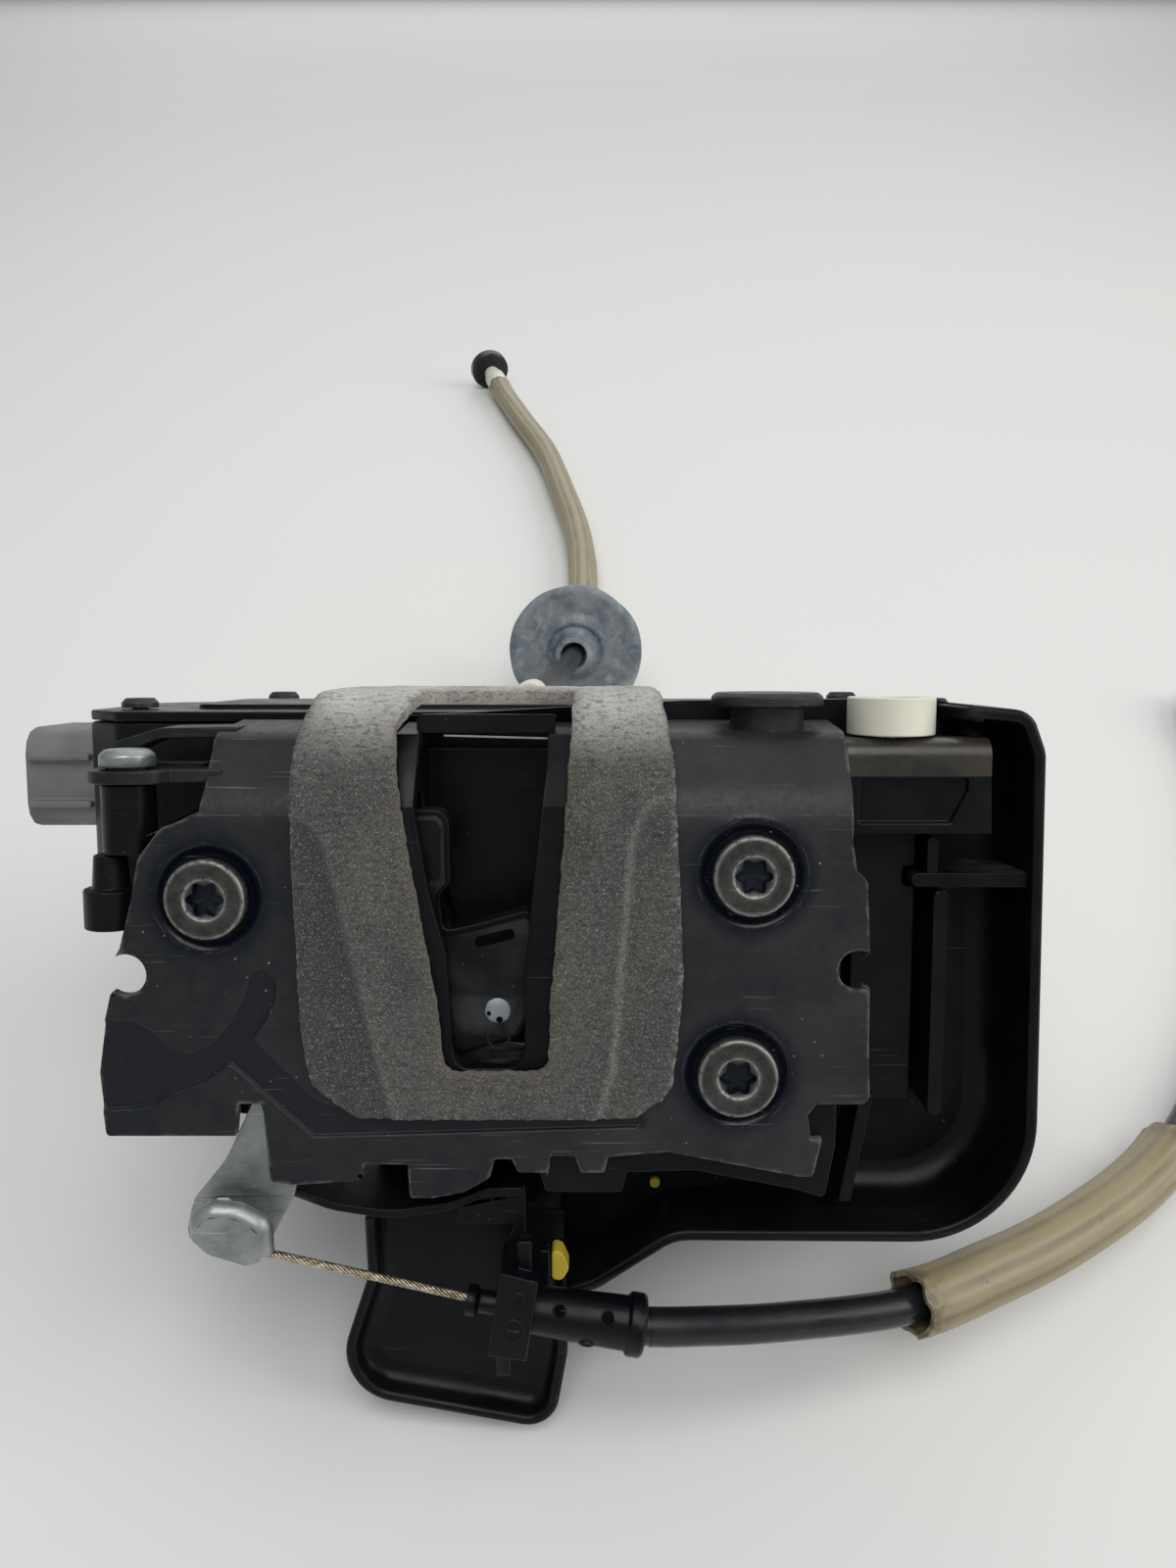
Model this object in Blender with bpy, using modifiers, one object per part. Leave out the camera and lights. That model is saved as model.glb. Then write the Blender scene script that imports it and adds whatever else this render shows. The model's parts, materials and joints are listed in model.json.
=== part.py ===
"""Side-door latch with its lock module, mouth seal and two release cables, leaning back on a table.

Metres, +Z up. The latch is drawn upright in its own frame, in millimetres: x to the right along the face,
y backwards into the latch from the face plate's front surface, z up. The origin of that frame is on the
face, on the mouth's centre line, where the striker comes to rest. An empty then leans it back.
"""
import bmesh
import bpy
from math import atan2, ceil, cos, degrees, hypot, pi, radians, sin, tan
from mathutils import Matrix, Vector

MM = 0.001

# Driving dimensions, in millimetres and degrees.
LEAN = 30.0                     # how far the face leans back from upright
TAB_LOW = (4.6, -73.0)          # x, z of the lower tab's lowest corner
TRAY_FRONT = 10.0               # y of the tray's front rim
TAB_WALL = (13.8, 16.0)         # y of the lower tab's wall
REAR = 94.0                     # y of the rearmost wall
FOOT_Z = TAB_LOW[1] + (REAR - TAB_WALL[1]) * tan(radians(LEAN))   # the rear edge that meets the table
PLACE = (0.3, -37.8, 71.22)      # where the latch frame's origin stands, in the world

PLATE = 1.8                     # face plate thickness
FOAM = (-2.6, -0.3)             # foam seal, front and back, measured from the plate's front
LINER = (0.4, 3.4)              # mouth liner, front and back
CASE = (2.1, 23.0)              # mechanism case
CAVITY_BACK = 14.8              # floor of the mechanism's cavity
SLOT_BACK = 21.0                # blind end of the mouth
BACK_PLATE = (23.4, 25.2)
TRAY_WALL = (26.0, 28.2)
HOUSING_FRONT = 28.5
GAP = 0.3                       # clearance between pieces that touch

BEND = [(0.0, -30.0), (0.0, 38.5), (8.5, 49.6), (24.0, 50.9)]   # y, z of the plate's front surface
FOAM_BEND = [(0.0, -30.0), (0.0, 40.0), (5.0, 50.5), (9.5, 54.2), (24.0, 54.6)]   # the seal's back

CLAW_PIVOT = (-19.0, 12.0)      # x, z
CLAW_PLATE = (5.2, 10.2)        # y of the claw's jaws
CLAW_RATCHET = (10.0, 14.2)     # y of the claw's ratchet hub
CLAW_COVER = (3.9, 4.9)         # y of the skin on the claw's front
CLAW_REACH = 28.2               # the room that the claw's jaws sweep
PAWL_PIVOT = (16.0, -10.0)
PAWL_PLATE = (10.8, 14.0)
PIN_END = 25.5

SCREWS = {"mount_screw_left": (-45.4, 23.8), "mount_screw_upper": (41.1, 27.5),
          "mount_screw_lower": (39.0, -5.2)}
DISH_RADIUS = 8.1
DISH_DEPTH = 0.8
SCREW_HEAD = 6.5
SCREW_SHANK = 2.6

LEVER_PIVOT = (-33.8, -7.2)
LEVER_PLATE = (2.3, 3.7)
NIPPLE = (-43.5, -31.3)         # x, z of the cable's nipple
FERRULE_NOSE = (-5.0, 0.0, -43.3)
FERRULE_SLOPE = 8.9             # degrees down to the right
WIRE_SLOPE = 13.3
WIRE_RADIUS = 0.75

KEY_BUSH = (66.7, 17.2)         # x, y of the key coupling
KEY_BUSH_LOW = 48.7
CORNER_PIN = (-59.2, 5.0)       # x, y of the corner rivet
STUD = (45.2, 15.5)

HOUSING_LEFT = -78.0
HOUSING_RIGHT = 88.0
HOUSING_LOW = 16.0
HOUSING_HIGH = 50.0
WALL = 2.0
COVER_SCREWS = [(-70.0, 40.0), (-54.0, 84.0), (24.0, 84.5), (80.0, 40.0), (72.0, 82.0)]   # x, y

INNER_FERRULE = (2.0, 79.0, 53.6)   # where the inner cable's ferrule starts, on the housing's lid
INNER_FERRULE_LENGTH = 20.0

# The cables' routes, in the world, in millimetres, from where each leaves the latch to its far end.
CONDUIT_RADIUS = 3.1
SLEEVE_RADIUS = 6.0
OUTER_ROUTE = [(25.3, -61.85, 29.6), (31.5, -61.3, 28.7), (48.3, -58.9, 25.9), (71.4, -53.5, 21.7),
               (89.5, -44.7, 17.9), (101.2, -38.3, 15.4), (114.2, -29.9, 12.7), (125.5, -21.7, 10.5),
               (135.3, -13.1, 8.9), (144.0, -3.5, 7.6), (154.0, 9.0, 5.8), (164.5, 24.5, 4.4),
               (175.0, 43.0, 3.5), (185.0, 64.0, 3.3), (194.0, 86.0, 3.3), (202.0, 109.0, 3.3),
               (209.0, 132.0, 3.4), (215.0, 155.0, 4.6)]
OUTER_SLEEVE = (48.0, 128.0)    # where along the outer cable its sleeve starts and ends
INNER_ROUTE = [(2.3, 75.0, 68.0), (2.8, 88.0, 60.8), (4.4, 108.0, 50.6), (6.6, 130.0, 40.0),
               (9.0, 154.0, 29.8), (10.9, 174.6, 22.2), (12.0, 192.0, 16.4), (12.8, 210.0, 11.6),
               (13.3, 232.0, 8.0), (13.3, 256.0, 6.5), (12.7, 280.0, 6.2), (10.9, 304.0, 6.2),
               (8.0, 326.0, 6.2), (4.5, 347.0, 6.2), (0.6, 370.0, 6.2), (-3.9, 394.0, 6.2),
               (-9.4, 415.5, 6.2), (-15.8, 437.0, 6.2), (-22.2, 459.0, 6.2), (-28.4, 481.0, 6.2),
               (-34.5, 503.0, 7.2), (-40.6, 521.0, 10.2), (-43.6, 530.0, 11.7)]
GROMMET_AT = 112.0              # how far along the inner cable its grommet is
GROMMET_RADIUS = 22.4
CABLE_GAP = 1.0                 # between the ends of a conduit and its sleeve

WHEEL_PIVOT = (30.0, 60.0)      # x, y of the worm wheel, which turns about the latch's z
WHEEL_RADIUS = 15.0
WORM_RADIUS = 3.6
WORM_CLEARANCE = 0.6            # between the worm's crests and the wheel's tips
WORM_Y = WHEEL_PIVOT[1] - WHEEL_RADIUS - WORM_CLEARANCE - WORM_RADIUS
WHEEL_TEETH = 30
MOTOR_RADIUS = 9.5
GEAR_Z = 2.0                    # height of the motor's and the worm's axis
LOCK_LEVER_PIVOT = (20.0, 72.0)


# ---------------------------------------------------------------- outlines

def fillet(corners, arc_step=30.0):
    """Corners (u, v) or (u, v, radius), in order round the outline, to points with round corners."""
    points = []
    count = len(corners)
    for index, corner in enumerate(corners):
        here = Vector(corner[:2])
        radius = corner[2] if len(corner) > 2 else 0.0
        before = Vector(corners[index - 1][:2]) - here
        after = Vector(corners[(index + 1) % count][:2]) - here
        turn = before.angle(after)
        if radius <= 0.0 or turn > radians(176):
            points.append(tuple(here))
            continue
        run = min(radius / tan(turn / 2), 0.48 * before.length, 0.48 * after.length)
        radius = run * tan(turn / 2)
        first = here + before.normalized() * run
        last = here + after.normalized() * run
        centre = here + (before.normalized() + after.normalized()).normalized() * (radius / sin(turn / 2))
        start = atan2(*(first - centre).yx)
        sweep = atan2(*(last - centre).yx) - start
        sweep = (sweep + pi) % (2 * pi) - pi
        steps = max(1, ceil(abs(degrees(sweep)) / arc_step))
        for step in range(steps + 1):
            angle = start + sweep * step / steps
            points.append((centre.x + radius * cos(angle), centre.y + radius * sin(angle)))
    return points


def arc(centre, radius, start, end, step=12.0):
    """Points on a circle from one angle to another, in degrees."""
    steps = max(1, ceil(abs(end - start) / step))
    angles = [radians(start + (end - start) * n / steps) for n in range(steps + 1)]
    return [(centre[0] + radius * cos(a), centre[1] + radius * sin(a)) for a in angles]


def star(centre, radius, lobe, lobes=6, segments=36):
    """A lobed socket: a circle whose radius rises and falls."""
    points = []
    for n in range(segments):
        angle = 2 * pi * n / segments
        reach = radius + lobe * cos(lobes * angle)
        points.append((centre[0] + reach * cos(angle), centre[1] + reach * sin(angle)))
    return points


def offset_path(path, distance):
    """An open path moved sideways, to its right as it is walked, with mitred corners."""
    moved = []
    for index, point in enumerate(path):
        here = Vector(point)
        sides = []
        if index > 0:
            sides.append((here - Vector(path[index - 1])).normalized())
        if index < len(path) - 1:
            sides.append((Vector(path[index + 1]) - here).normalized())
        normals = [Vector((side.y, -side.x)) for side in sides]
        mitre = sum(normals, Vector((0.0, 0.0))).normalized()
        moved.append(tuple(here + mitre * distance / mitre.dot(normals[0])))
    return moved


# ---------------------------------------------------------------- solids

def adopt(name, mesh):
    """An object in the scene for a finished mesh, welded, with its faces pointing out."""
    shape = bmesh.new()
    shape.from_mesh(mesh)
    bmesh.ops.remove_doubles(shape, verts=shape.verts, dist=1e-6)
    bmesh.ops.recalc_face_normals(shape, faces=shape.faces)
    shape.to_mesh(mesh)
    shape.free()
    solid = bpy.data.objects.new(name, mesh)
    bpy.context.scene.collection.objects.link(solid)
    return solid


def baked(source, name):
    """The evaluated shape of an object as a mesh object of its own; the source is removed."""
    bpy.context.view_layer.update()
    graph = bpy.context.evaluated_depsgraph_get()
    mesh = bpy.data.meshes.new_from_object(source.evaluated_get(graph))
    mesh.transform(source.matrix_world)
    bpy.data.objects.remove(source)
    return adopt(name, mesh)


PLANES = {"x": Matrix(((0, 0, 1), (1, 0, 0), (0, 1, 0))),
          "y": Matrix(((1, 0, 0), (0, 0, -1), (0, 1, 0))),
          "z": Matrix.Identity(3)}


def prism(name, outline, low, high, axis="y"):
    """A flat outline made thick along an axis: (x, z) along y, (x, y) along z or (y, z) along x."""
    curve = bpy.data.curves.new(name, "CURVE")
    curve.dimensions = "2D"
    curve.fill_mode = "BOTH"
    curve.extrude = (high - low) / 2 * MM
    spline = curve.splines.new("POLY")
    spline.points.add(len(outline) - 1)
    for point, (u, v) in zip(spline.points, outline):
        point.co = (u * MM, v * MM, 0.0, 1.0)
    spline.use_cyclic_u = True
    flat = bpy.data.objects.new(name, curve)
    bpy.context.scene.collection.objects.link(flat)
    middle = Vector([(low + high) / 2 * MM if letter == axis else 0.0 for letter in "xyz"])
    flat.matrix_world = Matrix.Translation(middle) @ PLANES[axis].to_4x4()
    return baked(flat, name)


def box(name, low, high):
    """A block between two corners."""
    mesh = bpy.data.meshes.new(name)
    shape = bmesh.new()
    bmesh.ops.create_cube(shape, size=1.0)
    size = Vector(high) - Vector(low)
    middle = (Vector(high) + Vector(low)) / 2
    bmesh.ops.scale(shape, vec=size * MM, verts=shape.verts)
    bmesh.ops.translate(shape, vec=middle * MM, verts=shape.verts)
    shape.to_mesh(mesh)
    shape.free()
    return adopt(name, mesh)


def facing(direction):
    """The turn that points +Z along a direction."""
    return Vector((0.0, 0.0, 1.0)).rotation_difference(Vector(direction)).to_matrix().to_4x4()


def cylinder(name, start, direction, radius, length, segments=24, tip=None):
    """A round bar from its start along a direction, tapered when it has a tip radius."""
    mesh = bpy.data.meshes.new(name)
    shape = bmesh.new()
    bmesh.ops.create_cone(shape, cap_ends=True, segments=segments, radius1=radius * MM,
                          radius2=(radius if tip is None else tip) * MM, depth=length * MM)
    shape.to_mesh(mesh)
    shape.free()
    step = Matrix.Translation((0.0, 0.0, length / 2 * MM))
    mesh.transform(Matrix.Translation(Vector(start) * MM) @ facing(direction) @ step)
    return adopt(name, mesh)


def turned(name, profile, start, direction, segments=24):
    """A profile of (radius, distance) turned about the line from its start along a direction."""
    mesh = bpy.data.meshes.new(name)
    points = [(radius * MM, 0.0, distance * MM) for radius, distance in profile]
    loop = [(n, (n + 1) % len(points)) for n in range(len(points))]
    if profile[0][0] == 0.0:
        loop.pop()
    mesh.from_pydata(points, loop, [])
    blank = bpy.data.objects.new(name, mesh)
    bpy.context.scene.collection.objects.link(blank)
    screw = blank.modifiers.new("turn", "SCREW")
    screw.steps = screw.render_steps = segments
    screw.use_merge_vertices = True
    screw.merge_threshold = 0.000001
    blank.matrix_world = Matrix.Translation(Vector(start) * MM) @ facing(direction)
    return baked(blank, name)


def tube(name, points, radius, sides=2):
    """A round tube through points; sides is the bevel resolution."""
    curve = bpy.data.curves.new(name, "CURVE")
    curve.dimensions = "3D"
    curve.bevel_depth = radius * MM
    curve.bevel_resolution = sides
    curve.use_fill_caps = True
    spline = curve.splines.new("POLY")
    spline.points.add(len(points) - 1)
    for point, place in zip(spline.points, points):
        point.co = (*(Vector(place) * MM), 1.0)
    wire = bpy.data.objects.new(name, curve)
    bpy.context.scene.collection.objects.link(wire)
    return baked(wire, name)


def coil(name, centre, radius, wire, low, high, turns):
    """A round spring about a line along y."""
    count = int(turns * 12)
    points = []
    for n in range(count + 1):
        angle = 2 * pi * turns * n / count
        depth = low + (high - low) * n / count
        points.append((centre[0] + radius * cos(angle), depth, centre[1] + radius * sin(angle)))
    return tube(name, points, wire, 1)


def combine(target, others, operation):
    """A Boolean of the target with each of the others in turn, which are used up."""
    for other in others:
        change = target.modifiers.new("combine", "BOOLEAN")
        change.operation = operation
        change.solver = "EXACT"
        change.object = other
        bpy.context.view_layer.update()
        graph = bpy.context.evaluated_depsgraph_get()
        result = bpy.data.meshes.new_from_object(target.evaluated_get(graph))
        target.modifiers.clear()
        target.data = result
        bpy.data.objects.remove(other)
    return target


def cut(target, *others):
    return combine(target, others, "DIFFERENCE")


def join(target, *others):
    return combine(target, others, "UNION")


def common(target, *others):
    return combine(target, others, "INTERSECT")


def sheet(name, outline, front, back, low_x=-120.0, high_x=120.0, path=BEND):
    """A sheet that follows a bend between two depths, trimmed to a front outline."""
    section = offset_path(path, front) + offset_path(path, back)[::-1]
    bent = prism(name, section, low_x, high_x, "x")
    return common(bent, prism("trim", outline, -60.0, 90.0))


def hole(x, z, radius, low=-10.0, high=60.0, segments=24):
    """A round cutter along y."""
    return cylinder("hole", (x, low, z), (0, 1, 0), radius, high - low, segments)


# ---------------------------------------------------------------- the latch's face

def slot_outline(grow):
    """The mouth, open at the top; grow widens it all round."""
    left = [(-16.8 - grow, 90.0), (-16.8 - grow, 48.0), (-14.6 - grow, 28.0), (-10.4 - grow, 3.0),
            (-9.0 - grow, -6.2 - grow, 2.4)]
    right = [(10.2 + grow, -6.2 - grow, 2.4), (10.5 + grow, 8.0), (12.2 + grow, 30.0),
             (13.8 + grow, 50.0), (13.8 + grow, 90.0)]
    return fillet(left + right)


def mouth_outline(grow):
    """The clear way for the striker, inside the liner."""
    left = [(-12.6 - grow, 90.0), (-12.6 - grow, 38.0), (-10.5 - grow, 25.1), (-7.7 - grow, 14.5),
            (-6.9 - grow, 0.0), (-6.2 - grow, -4.3 - grow, 2.0)]
    right = [(4.6 + grow, -4.3 - grow, 3.0), (5.0 + grow, 11.8), (5.9 + grow, 22.8),
             (8.3 + grow, 44.5), (8.7 + grow, 90.0)]
    return fillet(left + right)


def plate_outline():
    right = [(57.2, 90.0), (56.9, 32.6, 1.0), (57.6, 28.2, 1.0), (59.4, 26.4, 1.5), (60.2, -1.0),
             (60.6, -10.2, 1.6), (52.0, -10.2, 0.8), (50.6, -12.0), (51.2, -16.0), (53.0, -16.0),
             (51.6, -22.4, 1.0), (49.4, -22.4, 1.0)]
    teeth = [(28.0, -18.2), (18.3, -19.0), (17.6, -21.7, 0.5), (13.8, -21.7, 0.5), (12.8, -18.9),
             (8.9, -18.9), (8.6, -21.7, 0.5), (3.6, -21.7, 0.5), (2.5, -19.4), (-0.2, -19.4)]
    left = [(-1.0, -22.6, 1.5), (-5.2, -25.0, 3.0), (-10.3, -26.0, 0.6), (-14.1, -26.0, 0.6),
            (-14.4, -20.3), (-21.4, -20.3), (-21.7, -23.0, 0.6), (-33.0, -23.8, 1.2),
            (-36.8, -23.2, 1.0), (-37.6, -11.4), (-38.0, -10.1), (-41.5, -10.1), (-42.1, -15.5),
            (-63.2, -15.5, 0.8), (-64.0, -5.0), (-62.6, 4.0, 1.0), (-61.2, 7.6, 0.8), (-59.6, 15.4, 0.8),
            (-57.8, 22.9, 8.0), (-56.4, 30.0, 4.0), (-52.6, 35.0, 3.0), (-46.6, 37.2, 1.0), (-46.0, 42.0),
            (-46.0, 90.0)]
    return fillet(right + teeth + left)


def make_face_plate():
    plate = sheet("face_plate", plate_outline(), 0.0, PLATE)
    strap = fillet([(-43.0, 50.4), (-56.0, 50.2, 4.0), (-63.5, 47.8, 3.0), (-65.2, 45.0, 2.0),
                    (-65.2, 42.4), (-63.2, 42.4), (-62.8, 45.4, 2.0),
                    (-56.0, 48.4, 3.0), (-43.0, 48.6)])
    ear = fillet([(-65.2, -0.9, 5.6), (-53.2, -0.9, 5.6), (-51.6, 3.0), (-43.6, 3.4), (-43.6, 6.4),
                  (-50.4, 12.0, 3.0), (-50.4, 20.0), (-65.2, 20.0)])
    plate = join(plate, prism("ear", ear, 41.9, 43.9, "z"), prism("arm", strap, 10.4, 20.0))
    cutters = [prism("slot", slot_outline(0.4), -20.0, 60.0)]
    cutters += [hole(-59.0, 11.3, 3.3), hole(58.2, 12.0, 3.2)]
    for x, z in SCREWS.values():
        cutters.append(hole(x, z, DISH_RADIUS, -10.0, DISH_DEPTH, 32))
        cutters.append(hole(x, z, SCREW_SHANK + 0.4))
    cutters.append(cylinder("hole", (*CORNER_PIN, 38.0), (0, 0, 1), 3.2, 10.0))
    cutters.append(cylinder("hole", (*STUD, 44.0), (0, 0, 1), 6.6, 20.0))
    return cut(plate, *cutters)


def make_foam_gasket():
    ring = fillet([(-31.6, 47.0), (-31.8, 29.0), (-30.9, 2.0), (-29.5, -6.5, 3.0), (-22.5, -12.0, 4.0),
                   (22.5, -12.0, 4.0), (28.5, -7.5, 4.0), (30.2, 11.0), (28.6, 44.0), (26.8, 90.0),
                   (-27.0, 90.0)])
    foam = sheet("foam_gasket", ring, *FOAM, path=FOAM_BEND)
    opening = fillet([(-11.2, 80.0), (-15.6, 49.0), (-15.4, 44.0), (-13.1, 28.8), (-9.2, 6.9),
                      (-8.2, -4.5, 2.0), (8.6, -4.5, 2.0), (9.0, 7.0), (10.8, 28.8), (12.4, 50.0),
                      (12.6, 80.0)])
    return cut(foam, prism("opening", opening, -20.0, 14.0))


def make_mouth_liner():
    liner = sheet("mouth_liner", slot_outline(0.0), *LINER)
    return cut(liner, prism("mouth", mouth_outline(0.0), -20.0, 60.0))


def make_mount_screw(name):
    x, z = SCREWS[name]
    head = [(0.0, 0.0), (SCREW_HEAD - 0.7, 0.0), (SCREW_HEAD, 0.6), (SCREW_HEAD, 2.6),
            (SCREW_SHANK, 2.6), (SCREW_SHANK, 26.8), (SCREW_SHANK - 0.8, 27.6), (0.0, 27.6)]
    screw = turned(name, head, (x, DISH_DEPTH - GAP - 2.6, z), (0, 1, 0), 28)
    socket = prism("socket", star((x, z), 2.75, 0.45), -6.0, 0.0)
    return cut(screw, socket)


def make_disc_stud():
    profile = [(0.0, 9.4), (8.6, 9.4), (9.4, 8.8), (9.4, 7.2), (6.2, 7.0), (6.2, 0.0), (0.0, 0.0)]
    return turned("disc_stud", profile, (*STUD, 46.5), (0, 0, 1), 28)


def make_corner_pieces():
    rivet = [(0.0, 6.3), (3.4, 6.1), (4.4, 5.2), (4.4, 3.3), (2.8, 3.2), (2.8, -6.0), (0.0, -6.0)]
    turned("corner_rivet", rivet, (*CORNER_PIN, 41.0), (0, 0, 1))
    sleeve = [(4.3, 0.0), (4.3, -11.2), (3.2, -11.2), (3.2, 0.0)]
    turned("corner_sleeve", sleeve, (*CORNER_PIN, 41.6), (0, 0, 1))
    cup = [(0.0, 0.0), (4.4, 0.0), (4.4, 6.5), (3.0, 6.5), (2.6, 12.0), (0.0, 12.0)]
    turned("corner_cup", cup[::-1], (-62.6, 5.0, 18.0), (0, 0, 1))


# ---------------------------------------------------------------- the mechanism

def case_outline():
    return fillet([(-54.0, -12.5, 1.5), (-40.0, -13.5), (-36.0, -19.2, 1.0), (6.0, -19.2),
                   (8.0, -26.0, 0.8), (20.6, -26.0, 0.8), (21.4, -22.6), (32.4, -22.2), (49.5, -25.6),
                   (54.0, -27.0, 0.8), (55.6, -18.0, 1.0), (56.0, 40.0, 2.0), (50.0, 46.0, 2.0),
                   (-40.0, 46.0, 2.0), (-46.0, 37.0), (-51.5, 33.0, 3.0), (-54.0, 20.0, 3.0)])


def make_mechanism_case():
    case = prism("mechanism_case", case_outline(), 0.0, CASE[1])
    whole = [(-120.0, -90.0), (120.0, -90.0), (120.0, 90.0), (-120.0, 90.0)]
    front = sheet("front", whole, -20.0, CASE[0], -110.0, 110.0)
    rebate = sheet("rebate", slot_outline(0.4), -22.0, LINER[1] + 0.4)
    mouth = prism("mouth", mouth_outline(0.3), -20.0, SLOT_BACK)
    px, pz = CLAW_PIVOT
    sweep = prism("sweep", arc(CLAW_PIVOT, CLAW_REACH, -120.0, 102.0) + [(px, pz)], -20.0, CAVITY_BACK)
    disc = hole(px, pz, 16.6, -20.0, CAVITY_BACK + 0.1, 32)
    pawl_room = fillet([(-16.0, -14.5, 1.0), (-16.0, 0.0, 1.0), (-6.0, 3.0), (14.0, -1.5), (23.6, -3.2, 4.0),
                        (23.6, -16.6, 4.0), (8.0, -16.6)])
    pawl_bay = prism("bay", pawl_room, -19.0, CAVITY_BACK - 0.1)
    cutters = [front, rebate, mouth, sweep, disc, pawl_bay]
    cutters += [hole(px, pz, 8.6, 10.0, 20.2), hole(*PAWL_PIVOT, 6.4, 10.0, 20.2)]
    cutters += [hole(px, pz, 3.7), hole(*PAWL_PIVOT, 3.2)]
    cutters += [hole(x, z, SCREW_SHANK + 0.5) for x, z in SCREWS.values()]
    return cut(case, *cutters)


def make_back_plate():
    outline = fillet([(-52.0, -11.0, 3.0), (-36.0, -16.0, 3.0), (48.0, -18.0, 3.0), (54.0, -10.0, 3.0),
                      (54.0, 38.0, 3.0), (48.0, 44.0, 3.0), (-42.0, 44.0, 3.0), (-52.0, 30.0, 3.0)])
    plate = prism("back_plate", outline, *BACK_PLATE)
    cutters = [hole(*CLAW_PIVOT, 3.7), hole(*PAWL_PIVOT, 3.2)]
    cutters += [hole(x, z, SCREW_SHANK + 0.3) for x, z in SCREWS.values()]
    return cut(plate, *cutters)


def claw_outline():
    hub = arc(CLAW_PIVOT, 14.0, -70.0, -262.0, 16.0)
    jaws = fillet([hub[-1], (-17.6, 31.5, 3.0), (-15.2, 37.2, 2.4), (-7.6, 37.2, 2.4), (-7.4, 25.2, 1.4),
                   (-9.2, 23.4, 1.0), (-8.8, 17.2, 1.2), (-4.2, 18.2, 1.0), (5.2, 20.7, 1.2),
                   (7.4, 17.5, 1.5), (6.6, 6.0, 2.0), (3.6, -0.8, 3.0), (-6.0, -3.4, 3.0), hub[0]])
    return hub[1:-1] + jaws


def make_claw():
    claw = prism("claw", claw_outline(), *CLAW_PLATE)
    tooth = (arc(CLAW_PIVOT, 12.5, -15.0, 320.0, 15.0) + arc(CLAW_PIVOT, 16.5, -40.0, -15.0, 12.0))
    join(claw, prism("ratchet", tooth, *CLAW_RATCHET))
    return cut(claw, hole(*CLAW_PIVOT, 3.8))


def make_claw_cover():
    """The thin plastic skin on the claw's front, with a raised rib on the upper jaw."""
    hub = arc(CLAW_PIVOT, 12.6, -75.0, -255.0, 20.0)
    skin = fillet([hub[-1], (-14.6, 36.4, 2.0), (-8.3, 36.4, 2.0), (-8.2, 25.4, 1.2), (-9.9, 23.4),
                   (-9.6, 16.2, 1.0), (-4.2, 17.3, 1.0), (4.9, 19.8, 1.0), (6.6, 17.4, 1.0),
                   (5.8, 6.4, 2.0), (2.9, 0.0, 3.0), (-6.0, -2.5, 2.0), hub[0]])
    cover = prism("claw_cover", hub[1:-1] + skin, *CLAW_COVER)
    return cut(cover, hole(*CLAW_PIVOT, 3.8))


def make_pawl():
    x, z = PAWL_PIVOT
    heel = arc(PAWL_PIVOT, 5.6, -128.0, 112.0, 16.0)
    nose = fillet([heel[-1], (-6.3, -2.2, 0.8), (-10.8, -3.8, 0.8), (-12.6, -8.4, 1.0), (-6.0, -11.4, 2.0),
                   heel[0]])
    pawl = prism("pawl", heel[1:-1] + nose, *PAWL_PLATE)
    return cut(pawl, hole(x, z, 3.3))


def make_mechanism():
    make_mechanism_case()
    make_back_plate()
    make_claw()
    make_claw_cover()
    make_pawl()
    for name, (x, z), radius in (("claw_pin", CLAW_PIVOT, 3.4), ("pawl_pin", PAWL_PIVOT, 2.9)):
        cylinder(name, (x, CLAW_COVER[0], z), (0, 1, 0), radius, PIN_END - CLAW_COVER[0])
    coil("claw_spring", CLAW_PIVOT, 6.2, 0.5, 15.7, 19.4, 2.5)
    coil("pawl_spring", PAWL_PIVOT, 4.6, 0.5, 15.7, 19.4, 2.5)


# ---------------------------------------------------------------- the release lever and its cable

def make_release_lever():
    """A plated steel lever with a folded tab that holds the cable's nipple."""
    outline = fillet([(-29.4, -4.4, 3.6), (-29.6, -11.0, 3.0), (-33.6, -26.8, 3.0), (-37.8, -34.6, 3.0),
                      (-47.0, -36.0, 4.0), (-51.4, -31.5, 3.5), (-50.0, -27.0, 2.5), (-44.6, -20.4),
                      (-40.2, -11.0), (-38.2, -3.4, 4.0)])
    lever = prism("release_lever", outline, *LEVER_PLATE)
    tab = fillet([(-49.2, -26.6, 1.5), (-47.4, -25.7, 2.0), (-43.1, -25.4, 3.0), (-39.1, -26.6, 3.0),
                  (-35.8, -29.4, 2.5), (-36.4, -34.9, 1.5), (-40.0, -35.3, 2.0), (-46.0, -33.3, 3.0),
                  (-49.8, -29.6, 2.0)])
    join(lever, prism("tab", tab, -4.2, -2.7))
    root = fillet([(-48.4, -27.8, 0.8), (-47.0, -26.2, 1.0), (-43.1, -25.9, 3.0), (-39.6, -27.0, 1.0),
                   (-40.1, -28.4), (-43.3, -27.4), (-46.6, -27.6), (-47.5, -28.7)])
    join(lever, prism("root", root, -3.4, 3.0))
    return cut(lever, hole(*LEVER_PIVOT, 2.3), hole(-45.3, -28.3, 1.5, 0.0, 8.0))


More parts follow.
